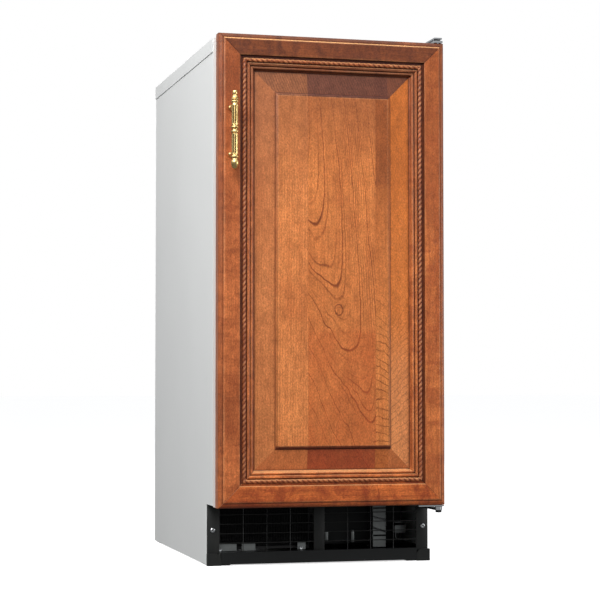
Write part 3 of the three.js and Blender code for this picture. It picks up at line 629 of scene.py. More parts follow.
def build_frame():
    height, width = WOOD_HIGH - WOOD_LOW, 2 * HALF
    woods = [
        frame_wood("cherry_stile_left", "Z", srgb(214, 122, 68), srgb(144, 72, 38), 1.3, (0.6, 0.86), 0.7),
        frame_wood("cherry_stile_right", "Z", srgb(226, 132, 70), srgb(158, 80, 42), 4.1, (0.4, 0.8), 0.7),
        frame_wood("cherry_rail_top", "X", srgb(148, 80, 42), srgb(90, 46, 30), 7.7, (0.02, -0.12), 0.4,
                   top_rub=0.9, rub_depth=2.8),
        frame_wood("cherry_rail_bottom", "X", srgb(228, 124, 60), srgb(132, 54, 28), 11.9, (0.1, 0.2), 0.2,
                   glaze=0.5, top_rub=0.55),
    ]
    # Each length: its node, how long it is, where a point of it lies, and which way its rope is twisted.
    lengths = [
        ("stile_left", height, lambda along, inset, y: (-HALF + inset, y, WOOD_LOW + along), -1),
        ("stile_right", height, lambda along, inset, y: (HALF - inset, y, WOOD_LOW + along), 1),
        ("rail_top", width, lambda along, inset, y: (-HALF + along, y, WOOD_HIGH - inset), -1),
        ("rail_bottom", width, lambda along, inset, y: (-HALF + along, y, WOOD_LOW + inset), 1),
    ]
    for wood, (node, length, place, _) in zip(woods, lengths):
        mitred(node, length, place, wood)

    rope = Wood("cherry_rope", "Z")
    ring = rope.rings((0.4, 0.3), (0.01, 0.0), 0.004, 0.004, 2.2)
    body = rope.stain(srgb(170, 90, 50), srgb(116, 54, 30), srgb(76, 30, 16), ring, 2.0)
    material = rope.finish(body, glaze=0.9, top_rub=0.45)
    bead = Shape()
    for _, length, place, way in lengths:
        rope_run(bead, length, ROPE_INSET, place, way)
    bead.done("frame_rope", "door", material, "rope_moulding", 50, slot="cherry")


# ---- raised panel ----

# Where the three boards of the raised panel are glued side by side, in metres.
STAVES = (-0.0425, 0.0705)


def panel_material():
    w = Wood("cherry_panel", "Z")
    x, z = w.axis("X"), w.axis("Z")
    wave = w.times(w.minus(w.noise((40, 40, 22), 3, 0.55), 0.5), 0.02)

    def over(edge, a, b):
        """The colour b beyond that x, and a before it."""
        return w.mix(w.math("GREATER_THAN", x, edge), a, b)

    def both(a, b, strength=1.0):
        return w.times(w.times(a, b), strength)

    def left_board():
        """Quarter-sawn, straight and calm."""
        ring = w.rings((-0.75, 0.2), (0.004, 0.01), 0.0036, 0.0016, 3.0)
        tone = w.stain(srgb(222, 138, 78), srgb(176, 96, 50), srgb(122, 58, 30), ring, 3.0, 0.25, 0.25, 0.6)
        tone = w.mix(w.span(z, 0.55, 0.78, 0, 0.85), tone, srgb(158, 94, 56))
        return w.mix(w.span(x, -0.0960, -0.0970, 0, 0.28), tone, srgb(150, 92, 62))

    def middle_board():
        """Flat-sawn, its rings cut into leaning arches round a small knot."""
        ring = w.rings((-0.6, 0.2), (0.01, 0.01), 0.0042, 0.0030, 5.0)
        tone = w.stain(srgb(214, 130, 70), srgb(168, 90, 46), srgb(150, 80, 42), ring, 6.0, 0.2, 0.16, 0.5)
        arch, late = w.arches((0.000, 0.448), 0.29, 0.17, 0.045, 0.105, 0.012, 4.0), srgb(120, 56, 28)
        tone = w.mix(w.times(w.lines(arch, 0.05), 0.95), tone, late)
        fade = w.times(w.span(w.noise((50, 50, 9), 3), 0.4, 0.6, 0.3, 0.8), w.span(arch, -3.0, 1.0, 0.35, 1))
        tone = w.mix(w.times(w.lines(w.scaled(arch, 2.0, 0.37), 0.1), fade), tone, late)
        fade = w.times(w.span(x, -0.02, 0.04, 0.0, 0.9), w.span(w.noise((40, 40, 12), 3), 0.4, 0.6))
        tone = w.mix(w.times(w.lines(w.times(arch, 6.0), 0.18), fade), tone, late)
        centre = (0.0087, FACE * MM, 0.4128)
        knot = w.node("ShaderNodeVectorMath", {0: w.coord, 1: centre}, operation="SUBTRACT").outputs[0]
        knot = w.node("ShaderNodeMapping", {0: knot, 3: (1.0, 0.0, 0.8)}).outputs[0]
        knot = w.node("ShaderNodeVectorMath", {0: knot}, operation="LENGTH").outputs["Value"]
        knot = w.scaled(w.noise(120, 2), 0.004, knot)
        bark = w.minus(w.span(knot, 0.0072, 0.0086), w.span(knot, 0.0088, 0.0105))
        tone = w.mix(w.times(bark, 0.9), tone, srgb(122, 60, 34))
        low = both(w.span(z, 0.372, 0.388, 1, 0), w.noise((30, 30, 8), 3), 0.75)
        tone = w.mix(low, tone, srgb(176, 84, 42))
        return w.mix(w.span(z, 0.62, 0.78, 0, 0.75), tone, srgb(142, 80, 46))

    def right_board():
        """Its fibres dive out of the face low down, falling on the flat and rising on the slope beside it."""
        ring = w.rings((-0.5, 0.3), (0.02, 0.01), 0.0046, 0.003, 8.0)
        tone = w.stain(srgb(216, 132, 70), srgb(172, 92, 46), srgb(128, 62, 30), ring, 9.0, 0.2, 0.2, 0.4)
        from_edge = w.minus(x, 0.0930)
        slope = w.span(z, 0.15, 0.5, -0.5, -1.5, False)
        bow = w.times(w.times(from_edge, from_edge), 22.0)
        flat = w.plus(w.scaled(from_edge, w.times(slope, -1.0), z), wave)
        flat = w.lines(w.divided(w.plus(flat, bow), 0.0125), 0.16)
        sloped = w.lines(w.divided(w.plus(w.scaled(from_edge, slope, z), wave), 0.0105), 0.22)
        grown = w.mix(w.math("GREATER_THAN", from_edge, 0.0), flat, sloped)
        fade = w.times(w.span(z, 0.34, 0.5, 1, 0), w.span(w.noise((60, 60, 40), 3), 0.35, 0.6, 0.4, 0.9))
        tone = w.mix(w.times(grown, fade), tone, srgb(104, 48, 24))
        dark = both(w.span(z, 0.6, 0.625), w.noise((30, 30, 16), 3), 1.5)
        tone = w.mix(dark, tone, srgb(120, 62, 36))
        tone = w.mix(w.span(z, 0.42, 0.72, 0, 0.8), tone, srgb(146, 78, 38))
        on_slope = w.span(x, 0.0925, 0.0935)
        tone = w.mix(w.times(on_slope, w.span(z, 0.3, 0.42, 0.4, 0)), tone, srgb(236, 160, 108))
        return w.mix(w.times(on_slope, w.span(z, 0.2, 0.5, 0.1, 0.6)), tone, srgb(204, 112, 44))

    body = over(STAVES[1], over(STAVES[0], left_board(), middle_board()), right_board())
    # The sloped borders show end grain above and below, and it takes more stain.
    aside = w.math("ABSOLUTE", x)
    top = w.times(w.math("GREATER_THAN", w.minus(z, aside), (WOOD_HIGH - HALF) * MM),
                  w.math("GREATER_THAN", z, (WOOD_HIGH - 97.4) * MM))
    bottom = w.times(w.math("LESS_THAN", w.plus(z, aside), (WOOD_LOW + HALF) * MM),
                     w.math("LESS_THAN", z, (WOOD_LOW + 92.0) * MM))
    # Painted shadow: the step under the raised field, facing down, darkens to a dark red band.
    ledge = w.times(w.span(z, (WOOD_LOW + 91.4) * MM, (WOOD_LOW + 92.0) * MM),
                    w.span(z, (WOOD_LOW + 96.0) * MM, (WOOD_LOW + 98.6) * MM, 1, 0))
    ledge = w.times(ledge, w.math("LESS_THAN", aside, (HALF - 93) * MM))
    end_top = over(STAVES[0], srgb(134, 82, 54), srgb(84, 50, 44))
    end_low = over(STAVES[0], srgb(170, 92, 50), over(STAVES[1], srgb(132, 48, 28), srgb(154, 78, 36)))
    body = w.mix(w.times(top, 0.8), body, end_top)
    steep = w.lines(w.divided(w.plus(w.scaled(x, 2.6, z), wave), 0.011), 0.3)
    body = w.mix(w.times(steep, w.times(top, 0.45)), body, srgb(64, 34, 30))
    body = w.mix(w.times(bottom, 0.72), body, end_low)
    body = w.mix(w.times(ledge, 0.85), body, srgb(84, 28, 20))
    return w.finish(body)


def build_panel():
    # (inset, depth behind the face, glazing with painted shade, rubbed edges with painted highlight)
    rows = [(59.4, 20, 1, 0), (59.4, 9.2, 1, 0), (59.5, 8.6, 0.8, 0.1), (61.5, 8.3, 0.15, 0.1),
            (64, 8.02, 0, 0), (90.8, 5.15, 0, 0), (91.9, 5.05, 0.3, 0), (92.3, 4.9, 1, 0)]
    rows += [(u, d, 0.75 if d > 2.2 else 0.35, 0) for u, d in arc((96.6, 5.0), (4.2, 3.7), 184, 262, 7)]
    rows += [(96.7, 1.25, 0.5, 0), (96.9, 0.95, 0.2, 0.7), (97.6, 0.8, 0, 0.4), (99, 0.8, 0, 0)]
    loops = []
    for inset, depth, _, _ in rows:
        x, low, high, y = HALF - inset, WOOD_LOW + inset, WOOD_HIGH - inset, FACE + depth
        loops.append([(-x, y, low), (x, y, low), (x, y, high), (-x, y, high)])
    glaze, wear = ([row[k] for row in rows for _ in range(4)] for k in (2, 3))
    panel = Shape().skin(loops, glaze=glaze, wear=wear)
    panel.done("frame_panel", "door", panel_material(), "raised_panel", 25, slot="cherry_panel")


# ---- handle ----

def brass_material():
    s = Surface("brass_lacquered", 0.24, 1.0, Coat_Weight=0.2, Coat_Roughness=0.1)
    tarnish = s.noise(90, 4, 0.6)
    base = s.mix(s.span(tarnish, 0.42, 0.75), srgb(222, 192, 128), srgb(180, 146, 86))
    # Tarnish and painted shade: the flutes darken towards a dark brown.
    base = s.mix(s.times(s.attribute("glaze"), 0.9), base, srgb(70, 46, 20))
    s.colour(base)
    s.roughness(s.scaled(tarnish, 0.16, 0.2))
    s.bump(s.noise(1600, 2), 0.06, 0.00001)
    return s.material


def build_handle():
    brass = brass_material()
    x, y, z = HANDLE
    body_radius, ring_radius, sides = 5.0, 6.38, 80
    flutes, flute_depth, flute_width, flute_turn = 8, 0.9, 0.2, math.radians(24.5)
    fluted_parts = [(24.2, 55.0), (70.6, 101.4)]

    def turned(points):
        """Profile with extra rings so that curves stay smooth."""
        fine = []
        for (r0, h0), (r1, h1) in zip(points, points[1:]):
            count = max(1, round(abs(h1 - h0) / 1.2))
            fine += [(r0 + (r1 - r0) * k / count, h0 + (h1 - h0) * k / count) for k in range(count)]
        return fine + [points[-1]]

    def bulb(middle, height, waist, belly, count=9):
        """Rounded swelling between two waists."""
        return [(waist + (belly - waist) * math.sin(t) ** 0.8, middle - height / 2 * math.cos(t))
                for t in (math.pi * k / count for k in range(count + 1))]

    def collar(middle):
        return [(4.3, middle - 3.4), (4.2, middle - 2.4)] + bulb(middle, 3.8, 4.5, ring_radius, 8) + [
            (4.2, middle + 2.4), (4.3, middle + 3.4)]

    def plain(start):
        return [(body_radius, start + k * 1.2) for k in range(28)]

    lower_end = [(0, 0), (1.6, 0.1), (2.7, 0.6), (3.4, 1.5), (4.4, 3.2), (5.2, 5.4), (5.9, 8.0), (6.2, 10.4),
                 (6.0, 12.4), (5.2, 13.9), (4.4, 15.0)]
    upper_end = [(4.3, 103.4)] + bulb(106.9, 3.8, 4.5, 6.2, 8) + bulb(110.9, 3.2, 4.6, ring_radius, 7)
    upper_end += [(5.3, 113.0), (4.9, 114.6), (4.2, 116.2), (3.4, 117.4)]
    upper_end += bulb(121.2, 6.6, 3.2, 4.1) + [(1.9, 124.85), (0, 125)]
    middle = collar(19.5) + plain(23.2) + collar(59.2) + collar(66.2) + plain(69.8)
    profile = turned(lower_end + middle + upper_end)

    def fluted(r, h, turn):
        for low, high in fluted_parts:
            if low < h < high:
                inside = min(1.0, (h - low) / 2.6, (high - h) / 2.6)
                place = ((turn - flute_turn) / (2 * math.pi) * flutes) % 1
                groove = max(0.0, 1 - (abs(place - 0.5) / flute_width) ** 2)
                return r - flute_depth * groove * math.sqrt(max(0.0, 1 - (1 - inside) ** 2))
        return r

    # Tarnish and painted shade stay in the flutes.
    held = []
    for r, h in profile:
        for i in range(sides if r else 1):
            held.append(min(1.0, max(0.0, (r - fluted(r, h, 2 * math.pi * i / sides)) * 1.5)))
    bar = Shape().lathe(profile, "z", (x, y, z), sides, fluted, glaze=held)
    bar.done("pull_bar", "door", brass, "handle_bar", 40, slot="brass")

    start = y + 5.5
    length = FACE - 0.3 - start
    shape = [(0, 0), (3.1, 0.05)] + [(3.1 - 0.6 * math.sin(math.pi * k / 8), 1 + k * 1.9) for k in range(9)]
    # The foot, as (radius, distance from the wood).
    foot = [(3.2, 4.6), (4.0, 3.9), (4.1, 3.0), (4.5, 2.4), (5.0, 1.4), (5.1, 0.4), (4.9, 0), (0, 0)]
    shape += [(r, length - gap) for r, gap in foot]
    for part, height in zip(("lower", "upper"), POSTS):
        post = Shape().lathe(shape, "y", (x, start, height), 40)
        post.done("pull_post_" + part, "door", brass, "handle_post_" + part, 40, slot="brass")


# ---- finishes shared by several pieces ----

def make_finishes():
    return {
        "shell": enamel("enamel_grey", srgb(226, 227, 226), 0.45, 1100, 0.00007, 0.03),
        "door_trim": enamel("enamel_door", srgb(228, 218, 213), 0.4, 1100, 0.00005, 0.02),
        "galvanised": galvanised("zinc_sheet", srgb(196, 199, 200)),
        "stainless": plate("steel_brushed", srgb(200, 201, 202), 0.3, True),
        "bright_steel": plate("steel_bright", srgb(224, 226, 228), 0.18, False, 0.06),
        "copper": plate("copper_drawn", srgb(196, 128, 92), 0.32, False, 0.1),
        "tinned_copper": plate("copper_tinned", srgb(198, 194, 186), 0.34, False, 0.1),
        "liner": plastic("plastic_white", srgb(232, 233, 229), 0.32, 900, 0.00003, 0.02),
        "scoop_plastic": plastic("plastic_clear_grey", srgb(196, 208, 214), 0.28, 900, 0.00003,
                                 Transmission_Weight=0.25),
        "grey_plastic": plastic("plastic_grey", srgb(150, 152, 152), 0.45, 1200, 0.00004, 0.05),
        "black_plastic": plastic("plastic_black", srgb(33, 34, 33), 0.5, 1500, 0.00005, 0.01,
                                 Specular_IOR_Level=0.2),
        "black_paint": enamel("enamel_black", srgb(24, 25, 25), 0.45, 1300, 0.00005, 0.1,
                              Specular_IOR_Level=0.2),
        "dull_steel": plate("steel_dull", srgb(132, 135, 134), 0.5, False, 0.08),
        "foam": foam("foam_cream", srgb(232, 218, 176)),
        "seal": plastic("seal_grey", srgb(120, 122, 124), 0.7, 800, 0.00006, 0.03),
        "hose": plastic("hose_white", srgb(222, 222, 216), 0.35, 900, 0.00002, Transmission_Weight=0.3),
    }


# Edge radius in millimetres for the CAD pieces that are shown as they are.
EDGES = {
    "top_cap": 1.3, "side_panel_left": 0.35, "side_panel_right": 0.35, "face_frame": 0.4, "back_panel": 0.3,
    "rear_cover": 0.35, "door_shell": 1.0, "base_tray": 0.5, "foot_front_left": 0.7, "foot_front_right": 0.7,
    "foot_back_left": 0.4, "foot_back_right": 0.4, "hinge_bracket_top": 0.5, "hinge_bracket_bottom": 0.4,
    "hinge_plate_top": 0.5, "hinge_plate_bottom": 0.4, "evaporator_frame": 0.4, "water_tank": 0.9,
    "water_plate": 0.6, "cam_arm": 1.2, "bin_control": 1.2, "control_box": 1.0, "power_switch": 0.8,
    "evaporator": 0.3,
}


def dress_cad():
    """Every CAD node takes its slot's finish, and most get rounded edges."""
    slots = {row["node"]: row["material_slot"] for row in frame["record"]["subparts"]}
    # The control box takes black paint, which also stands in for the shade behind the grille: partly painted
    # shade.
    slots["control_box"] = "black_paint"
    for name, node in frame["nodes"].items():
        node.data.materials.clear()
        node.data.materials.append(finishes.get(slots[name]) or finishes["black_plastic"])
        if name in EDGES:
            bevel = node.modifiers.new("edges", "BEVEL")
            bevel.width = EDGES[name] * MM
            bevel.segments = 2
            bevel.limit_method = "ANGLE"
            bevel.angle_limit = math.radians(50)
            bevel.harden_normals = False


# ---- toe recess ----

def screw(shape, x, y, z, radius=4.2):
    """A pan head that faces the front."""
    profile = [(0, 0.55), (0.5, 0.5), (1.4, 0.15), (2.6, 0.05), (radius - 0.9, 0.35), (radius - 0.2, 1.0),
               (radius, 1.7), (radius, 2.0), (0, 2.0)]
    shape.lathe(profile, "y", (x, y, z), 28)


def build_screws():
    """The two screws of the grille, each with a cross recess drawn as a dark inlay of painted shade."""
    s = Surface("screw_plated", 0.25, 1.0)
    s.colour(s.mix(s.span(s.noise(400, 3), 0.4, 0.7), srgb(214, 216, 218), srgb(150, 152, 154)))
    s.roughness(s.scaled(s.noise(500, 3), 0.25, 0.14))
    s.bump(s.noise(900, 2), 0.3, 0.00003)
    # Painted shade: the cross is a dark inlay standing on the head, not a cut hole.
    recess = Surface("screw_recess", 0.6, 0.6)
    recess.colour(recess.mix(recess.noise(800, 2), srgb(24, 24, 24), srgb(52, 52, 52)))
    recess.bump(recess.noise(900, 2), 0.3, 0.00003)
    y, z = GRILLE_FACE - 2.1, 57.2
    for side, sign in (("left", -1), ("right", 1)):
        x = sign * 179
        head = Shape()
        screw(head, x, y, z)
        head.lathe([(0, 2.0), (1.8, 2.0), (1.8, 8), (0, 8)], "y", (x, y, z), 16)
        head.done("grille_screw_head_" + side, "cabinet", s.material, "grille_screw_" + side, 40,
                  slot="bright_steel")
        cross = Shape()
        spin = Matrix.Rotation(math.radians(25 * sign), 3, "Y")
        for length, width in ((2.2, 0.38), (0.38, 2.2)):
            cross.box(x - length, x + length, y - 0.02, y + 0.8, z - width, z + width, 0.12, 1,
                      spin, (x, y, z))
        cross.done("grille_screw_cross_" + side, "cabinet", recess.material, slot="bright_steel")


def build_grille():
    """The moulding again with round guard bars and softened windows."""
    top, bottom, front, back = 99.2, 4.4, GRILLE_FACE, GRILLE_FACE + 3.5
    low, high = 21.3, 95.5
    side, edge, middle = 188.2, 167.8, 9.3
    shape = Shape()
    shape.box(-side, -edge, front, back, bottom, top, 0.7)
    shape.box(edge, side, front, back, bottom, top, 0.7)
    shape.box(-middle, middle, front, back, low - 2, top - 1, 0.7)
    for z0, z1 in ((high, top), (bottom, low)):
        shape.box(-170, 170, front + 0.05, back - 0.05, z0, z1, 0.6)
    for a, b in ((-edge, -middle), (middle, edge)):
        for z in (35.3, 50.8, 66.2, 81.3):
            shape.tube([(a - 1, front + 1.5, z), (b + 1, front + 1.5, z)], 0.72, sides=8)
        for i in (1, 2, 3):
            x = a + (b - a) * i / 4
            shape.tube([(x, front + 1.1, low - 1), (x, front + 1.1, high + 1)], 0.72, sides=8)
    guard = plastic("plastic_grille", srgb(30, 31, 30), 0.45, 1500, 0.00005, 0.02, Specular_IOR_Level=0.35)
    shape.done("toe_grille", "cabinet", guard, "front_grille", 35, slot="black_plastic")


# ---- hinges ----

def build_hinge_details():
    """Turned pins, a washer and a sleeve: (piece, finish, CAD node or none, profile, sides)."""
    black, bright = "black_plastic", "bright_steel"
    for name, look, node, profile, sides in (
        ("hinge_washer_top", black, (), [(0, 857.9), (4.6, 857.9), (5.2, 858.3), (5.2, 859.7), (4.6, 860.1),
                                         (0, 860.1)], 32),
        ("hinge_pin_turned_top", bright, "hinge_pin_top",
         [(0, 850.8), (2.9, 850.9), (2.9, 857.8), (2.9, 862.1), (2.2, 862.7), (0, 862.8)], 28),
        ("hinge_pin_turned_bottom", black, "hinge_pin_bottom",
         [(0, 85), (3.9, 85), (4.8, 85.5), (5.0, 86.3), (5.0, 87.9), (4.6, 88.3), (3, 88.3), (3, 96.8),
          (0, 97)], 28),
        ("hinge_knuckle_sleeve", bright, (),
         [(3.3, 88.5), (5.6, 88.5), (6.2, 89.1), (6.2, 94.3), (5.7, 94.9), (3.3, 94.9), (3.3, 88.5)], 36),
    ):
        Shape().lathe(profile, "z", (*PIVOT, 0), sides).done(name, "cabinet", look, node)


# ---- machinery seen through the grille and from behind ----

def build_condenser():
    x0, x1, front, back, low, high = -166, -14, -168, -130, 24.5, 150
    core = Surface("condenser_black", 0.6, 0.3)
    core.colour(core.mix(core.span(core.noise(60, 5, 0.7), 0.4, 0.75), srgb(13, 13, 14), srgb(30, 30, 30)))
    core.bump(core.noise(700, 3), 0.4, 0.00005)
    shape = Shape()
    fins, passes = 54, 5
    for i in range(fins):
        x = x0 + 3 + (x1 - x0 - 6) * i / (fins - 1)
        shape.box(x - 0.25, x + 0.25, front + 0.5, back - 0.5, low + 2, high - 2, 0)
    for x in (x0, x1 - 1.6):
        shape.box(x, x + 1.6, front, back, low, high, 0.3, 1)
    for row, y in enumerate((front + 10, back - 10)):
        for k in range(passes):
            z = low + 14 + k * 24 + row * 4
            shape.tube([(x0 + 1, y, z), (x1 - 1, y, z)], 3.4, sides=10)
    for z in (low, high - 4):
        shape.box(x0, x1, front, front + 1.2, z, z + 4, 0.2, 1)
    shape.done("condenser_coil", "cabinet", core.material, "condenser", slot="black_paint")

    # Pale feet that hold the coil down, and two screws.
    foot = Shape()
    for a, b in ((-167, -137.5), (-129, -106), (-35, -21)):
        foot.box(a, b, -173.2, -172.2, 21.5, 33.5, 0.2, 1)
        foot.box(a, b, -173.2, -168.6, 21.5, 22.5, 0.2, 1)
    foot.done("condenser_brackets", "cabinet", "dull_steel", slot="galvanised")
    heads = Shape()
    for x in (-165, -29):
        screw(heads, x, -174.9, 24.8, 3.2)
    heads.done("condenser_screws", "cabinet", "bright_steel")


def build_front_services():
    """What stands behind the right-hand window: a folded strip, its braces and wiring parts."""
    strip = Shape()
    for z0, z1 in ((20, 38), (40.5, 84), (86, 94)):
        strip.box(103.4, 127, -142, -140.8, z0, z1, 0.2, 1)
    strip.box(103.4, 104.6, -142, -112.5, 20, 94, 0.2, 1)
    strip.done("service_strip", "cabinet", "dull_steel", slot="galvanised")
    braces = Shape()
    for a, b in ((70.5, 65.5), (53.4, 45.3)):
        braces.tube([(103.6, -143.4, a), (127, -143.4, b)], 1.3, sides=8)
    braces.done("service_wires", "cabinet", "bright_steel")
    clips = Shape()
    clips.box(21.3, 26.5, -141, -137, 33, 47, 0.6)
    clips.box(66.6, 71.8, -141, -135, 29, 49, 0.6)
    clips.box(143, 163, -141, -128, 42, 56, 1.2)
    clips.box(143, 163, -141, -130, 60, 61.4, 0.4)
    clips.tube([(146, -137, 42), (146, -137, 32), (160, -137, 31)], 1.2, 5, 8)
    clips.done("service_clips", "cabinet", "dull_steel", slot="grey_plastic")
    lead = Shape()
    lead.tube([(150, -134, 42), (150, -134, 29), (158, -130, 27.5), (158, -111, 27.5)], 1.8, 6, 10)
    lead.tube([(156, -132, 42), (156, -132, 31), (60, -126, 29), (60, -111, 29)], 1.5, 6, 10)
    lead.done("service_leads", "cabinet", "black_plastic")


def build_cooling():
    """Shroud, fan and motor behind the condenser."""
    cx, cz = -90, 98
    left, right, low, high = -168, -12, 24.5, 176
    sides = 64
    turns = [2 * math.pi * (i + 0.5) / sides for i in range(sides)]

    def edge(y):
        """The shroud's rectangle, met by rays from the fan's centre."""
        loop = []
        for t in turns:
            u, v = math.cos(t), math.sin(t)
            wide = right - cx if u > 0 else cx - left
            tall = high - cz if v > 0 else cz - low
            k = 1 / max(abs(u) / wide, abs(v) / tall)
            loop.append((cx + u * k, y, cz + v * k))
        return loop

    def ring(r, y):
        return [(cx + r * math.cos(t), y, cz + r * math.sin(t)) for t in turns]

    rings = [(70, -123.6), (66.5, -122.5), (65, -119), (65, -104), (62.4, -104), (62.2, -120), (63.6, -124.4),
             (67, -126)]
    shroud = Shape().skin([edge(-126), edge(-123.6)] + [ring(*row) for row in rings], loop=True)
    shroud.done("fan_shroud_sheet", "cabinet", "galvanised", "fan_shroud", 30)

    blade = Shape()
    blade.lathe([(3.05, -121), (12, -121), (15, -119.5), (16, -116), (16, -108), (15, -107), (3.05, -107),
                 (3.05, -121)], "y", (cx, 0, cz), 40)
    blades, hub, tip, steps = 5, 14.5, 57, 12
    for i in range(blades):
        loops = []
        for k in range(steps + 1):
            out = k / steps
            r = hub + (tip - hub) * k / steps
            half = 14 + 13 * math.sin(math.pi * 0.62 * k / steps)
            pitch = 0.62 - 0.3 * out
            loop = []
            for side in (1, -1):
                for j in range(-4, 5):
                    f = j * side / 4
                    camber = 1.6 * (1 - f * f)
                    thick = side * 0.7 * (1 - f * f * 0.9)
                    y = -114 + half * f * math.sin(pitch) * 0.75 - camber + thick
                    a = 2 * math.pi * i / blades + half * f * math.cos(pitch) / r + 0.1 * out
                    loop.append((cx + r * math.sin(a), min(-105.5, max(-121.5, y)), cz + r * math.cos(a)))
            loops.append(loop)
        blade.skin(loops)
    blade.done("fan_blade_moulded", "fan", "grey_plastic", "fan_blade", 40)

    motor = Shape()
    motor.lathe([(0, -96), (10, -96.2), (12, -95.5), (22, -95), (24.4, -93), (25, -90), (25, -76),
                 (24.4, -75.4), (24.4, -72.6), (25, -72), (25, -54), (24, -50), (20, -48.2), (0, -48)],
                "y", (cx, 0, cz), 48)
    motor.lathe([(0, -119), (2.6, -119), (3, -118.5), (3, -94), (0, -94)], "y", (cx, 0, cz), 24)
    motor.box(cx - 12, cx + 12, -84, -78, low, cz, 1.5)
    motor.box(cx - 30, cx + 30, -92, -66, low, 27.5, 1.0)
    motor.done("fan_motor_can", "cabinet", "black_paint", "fan_motor")


def build_compressor():
    cx, cy = 78, 175

    def bend(radius, height, wide, tall, start, count):
        """A quarter of an ellipse from the start angle on, without its ends."""
        return [(radius + wide * math.cos(t), height + tall * math.sin(t))
                for t in (start + math.pi / 2 * k / count for k in range(1, count))]

    shell = Shape()
    dome = [(0, 29), (50, 29)] + bend(50, 45, 16, 16, -math.pi / 2, 8) + [(66, 45)]
    dome += [(67.4, 60), (68, 70), (68, 92), (69.5, 92.6), (69.5, 96.4), (68, 97), (68, 118)]
    dome += bend(40, 122, 28, 45, 0, 12) + [(30, 169.2), (0, 170)]
    shell.lathe(dome, "z", (cx, cy, 0), 72)
    shell.box(14, 142, 111, 239, 24, 31, 3.4, 3)
    shell.done("compressor_shell", "cabinet", "black_paint", "compressor", 30)
    cover = Shape().box(9.2, 20, 152, 196, 72, 118, 3.2, 3)
    cover.box(7.6, 10, 160, 188, 84, 104, 0.8)
    cover.done("compressor_terminal_cover", "cabinet", "black_plastic")
    pads = Shape()
    for x in (26, 130):
        for y in (123, 227):
            pads.lathe([(0, 4.2), (9, 4.2), (10.4, 6), (10.4, 12), (8.2, 14), (8.2, 19), (10, 21), (10, 23.7),
                        (0, 23.7)], "z", (x, y, 0), 28)
            pads.lathe([(0, 31.2), (5.4, 31.2), (5.4, 34.6), (4.8, 35.2), (0, 35.2)], "z", (x, y, 0), 6)
    pads.done("compressor_mounts", "cabinet", "black_plastic")


def build_pipes():
    # CAD node, finish, pipe radius, bend radius and the corners of its route.
    for node, look, radius, bend, route in (
        ("discharge_line", "copper", 4, 12,
         [(30, 118, 60), (-20, 100, 60), (-20, 60, 188), (-20, -149, 188), (-60, -149, 188),
          (-60, -149, 150.4)]),
        ("suction_line", "copper", 5, 8,
         [(60, 192, 776), (60, 205, 792), (60, 270, 792), (60, 270, 200), (78, 262, 188), (78, 190, 188),
          (78, 190, 168.5)]),
        ("water_supply_tube", "hose", 4, 12,
         [(-125, 268, 188.5), (-125, 268, 740), (-60, 268, 792), (-60, 218, 792)]),
    ):
        Shape().tube(route, radius, bend, 18).done(node + "_drawn", "cabinet", look, node, 50)
    left, right, z, passes = -114, 54, 770, 5
    points = []
    for k in range(passes):
        y = 26 + k * 34
        points += [(right, y, z), (left, y, z)] if k % 2 else [(left, y, z), (right, y, z)]
    coil = Shape().tube(points, 4.4, 15, 16)
    coil.done("evaporator_coil_drawn", "cabinet", "copper", "evaporator_coil", 50)
    valve = Shape().box(-84, -56, 108, 136, 140, 172, 2.5, 3)
    valve.lathe([(0, 112), (6.5, 112), (7.9, 113.4), (7.9, 138), (5, 140), (5, 172), (7.9, 174), (7.9, 180),
                 (6.5, 182), (0, 182)], "z", (-70, 122, 0), 32)
    valve.done("hot_gas_valve_body", "cabinet", "dull_steel", "hot_gas_valve", slot="bright_steel")


def build_fittings():
    """Water inlet and drain at the back."""
    def repeated(profile, start, pitch, count):
        """A thread or barbs: the profile's points again and again."""
        return [(r, start + pitch * k + h) for k in range(count) for r, h in profile]

    x, z = -125, 172
    inlet = Shape().box(x - 20, x + 20, 236, 276, z - 16, z + 16, 3.5, 3)
    thread = [(0, 276), (12.2, 276), (16.5, 276.4), (16.5, 280.5), (13.0, 281)]
    thread += repeated([(11.9, 0), (13.0, 0.5), (13.0, 0.9), (11.9, 1.4)], 282.0, 1.8, 12)
    thread += [(12.4, 303.6), (12, 304), (9, 304), (9, 290), (0, 290)]
    inlet.lathe(thread, "y", (x, 0, z), 48)
    inlet.done("water_valve_body", "cabinet", "grey_plastic", "water_valve")
    coil = Shape().box(x - 15, x + 15, 240, 268, z + 16.3, z + 32, 4, 3)
    coil.done("water_valve_coil", "cabinet", "black_plastic")

    drain = Shape().tube([(0, 150, 232.5), (0, 150, 186), (0, 276, 186)], 9.4, 16, 24)
    spigot = [(0, 275), (11, 275), (11, 284), (9.9, 285)]
    spigot += repeated([(9.9, 0), (10.9, 2.6), (10.9, 3.1), (9.9, 3.4)], 285.0, 4.2, 4)
    spigot += [(9.9, 303.6), (9.5, 304), (7.5, 304), (7.5, 280), (0, 280)]
    drain.lathe(spigot, "y", (0, 0, 186), 40)
    drain.done("drain_outlet_spigot", "cabinet", "grey_plastic", "drain_outlet", 40)


def build_back():
    """Screws of the back sheets and a folded edge on the slots of the service cover."""
    heads = Shape()
    places = [(x, z) for x in (-178, 0, 178) for z in (214, 818)]
    places += [(x, z) for heights in ((420, 620), (36, 196)) for x in (-178, 178) for z in heights]
    for x, z in places:
        heads.lathe([(0, 288.1), (4.4, 288.1), (4.6, 288.6), (3.9, 290.0), (1.6, 290.3), (0.6, 289.5),
                     (0, 289.4)], "y", (x, 0, z), 24 if z > 200 else 6)
    heads.done("back_screws", "cabinet", "bright_steel", sharp=30)
    lips = Shape()
    for row in range(7):
        z = 46 + row * 13 + 5.3
        lips.tube([(-85, 288.2, z), (15, 288.2, z)], 0.8, sides=8)
    lips.done("service_cover_lips", "cabinet", "galvanised", sharp=40)


# ---- the bin and what works inside it ----

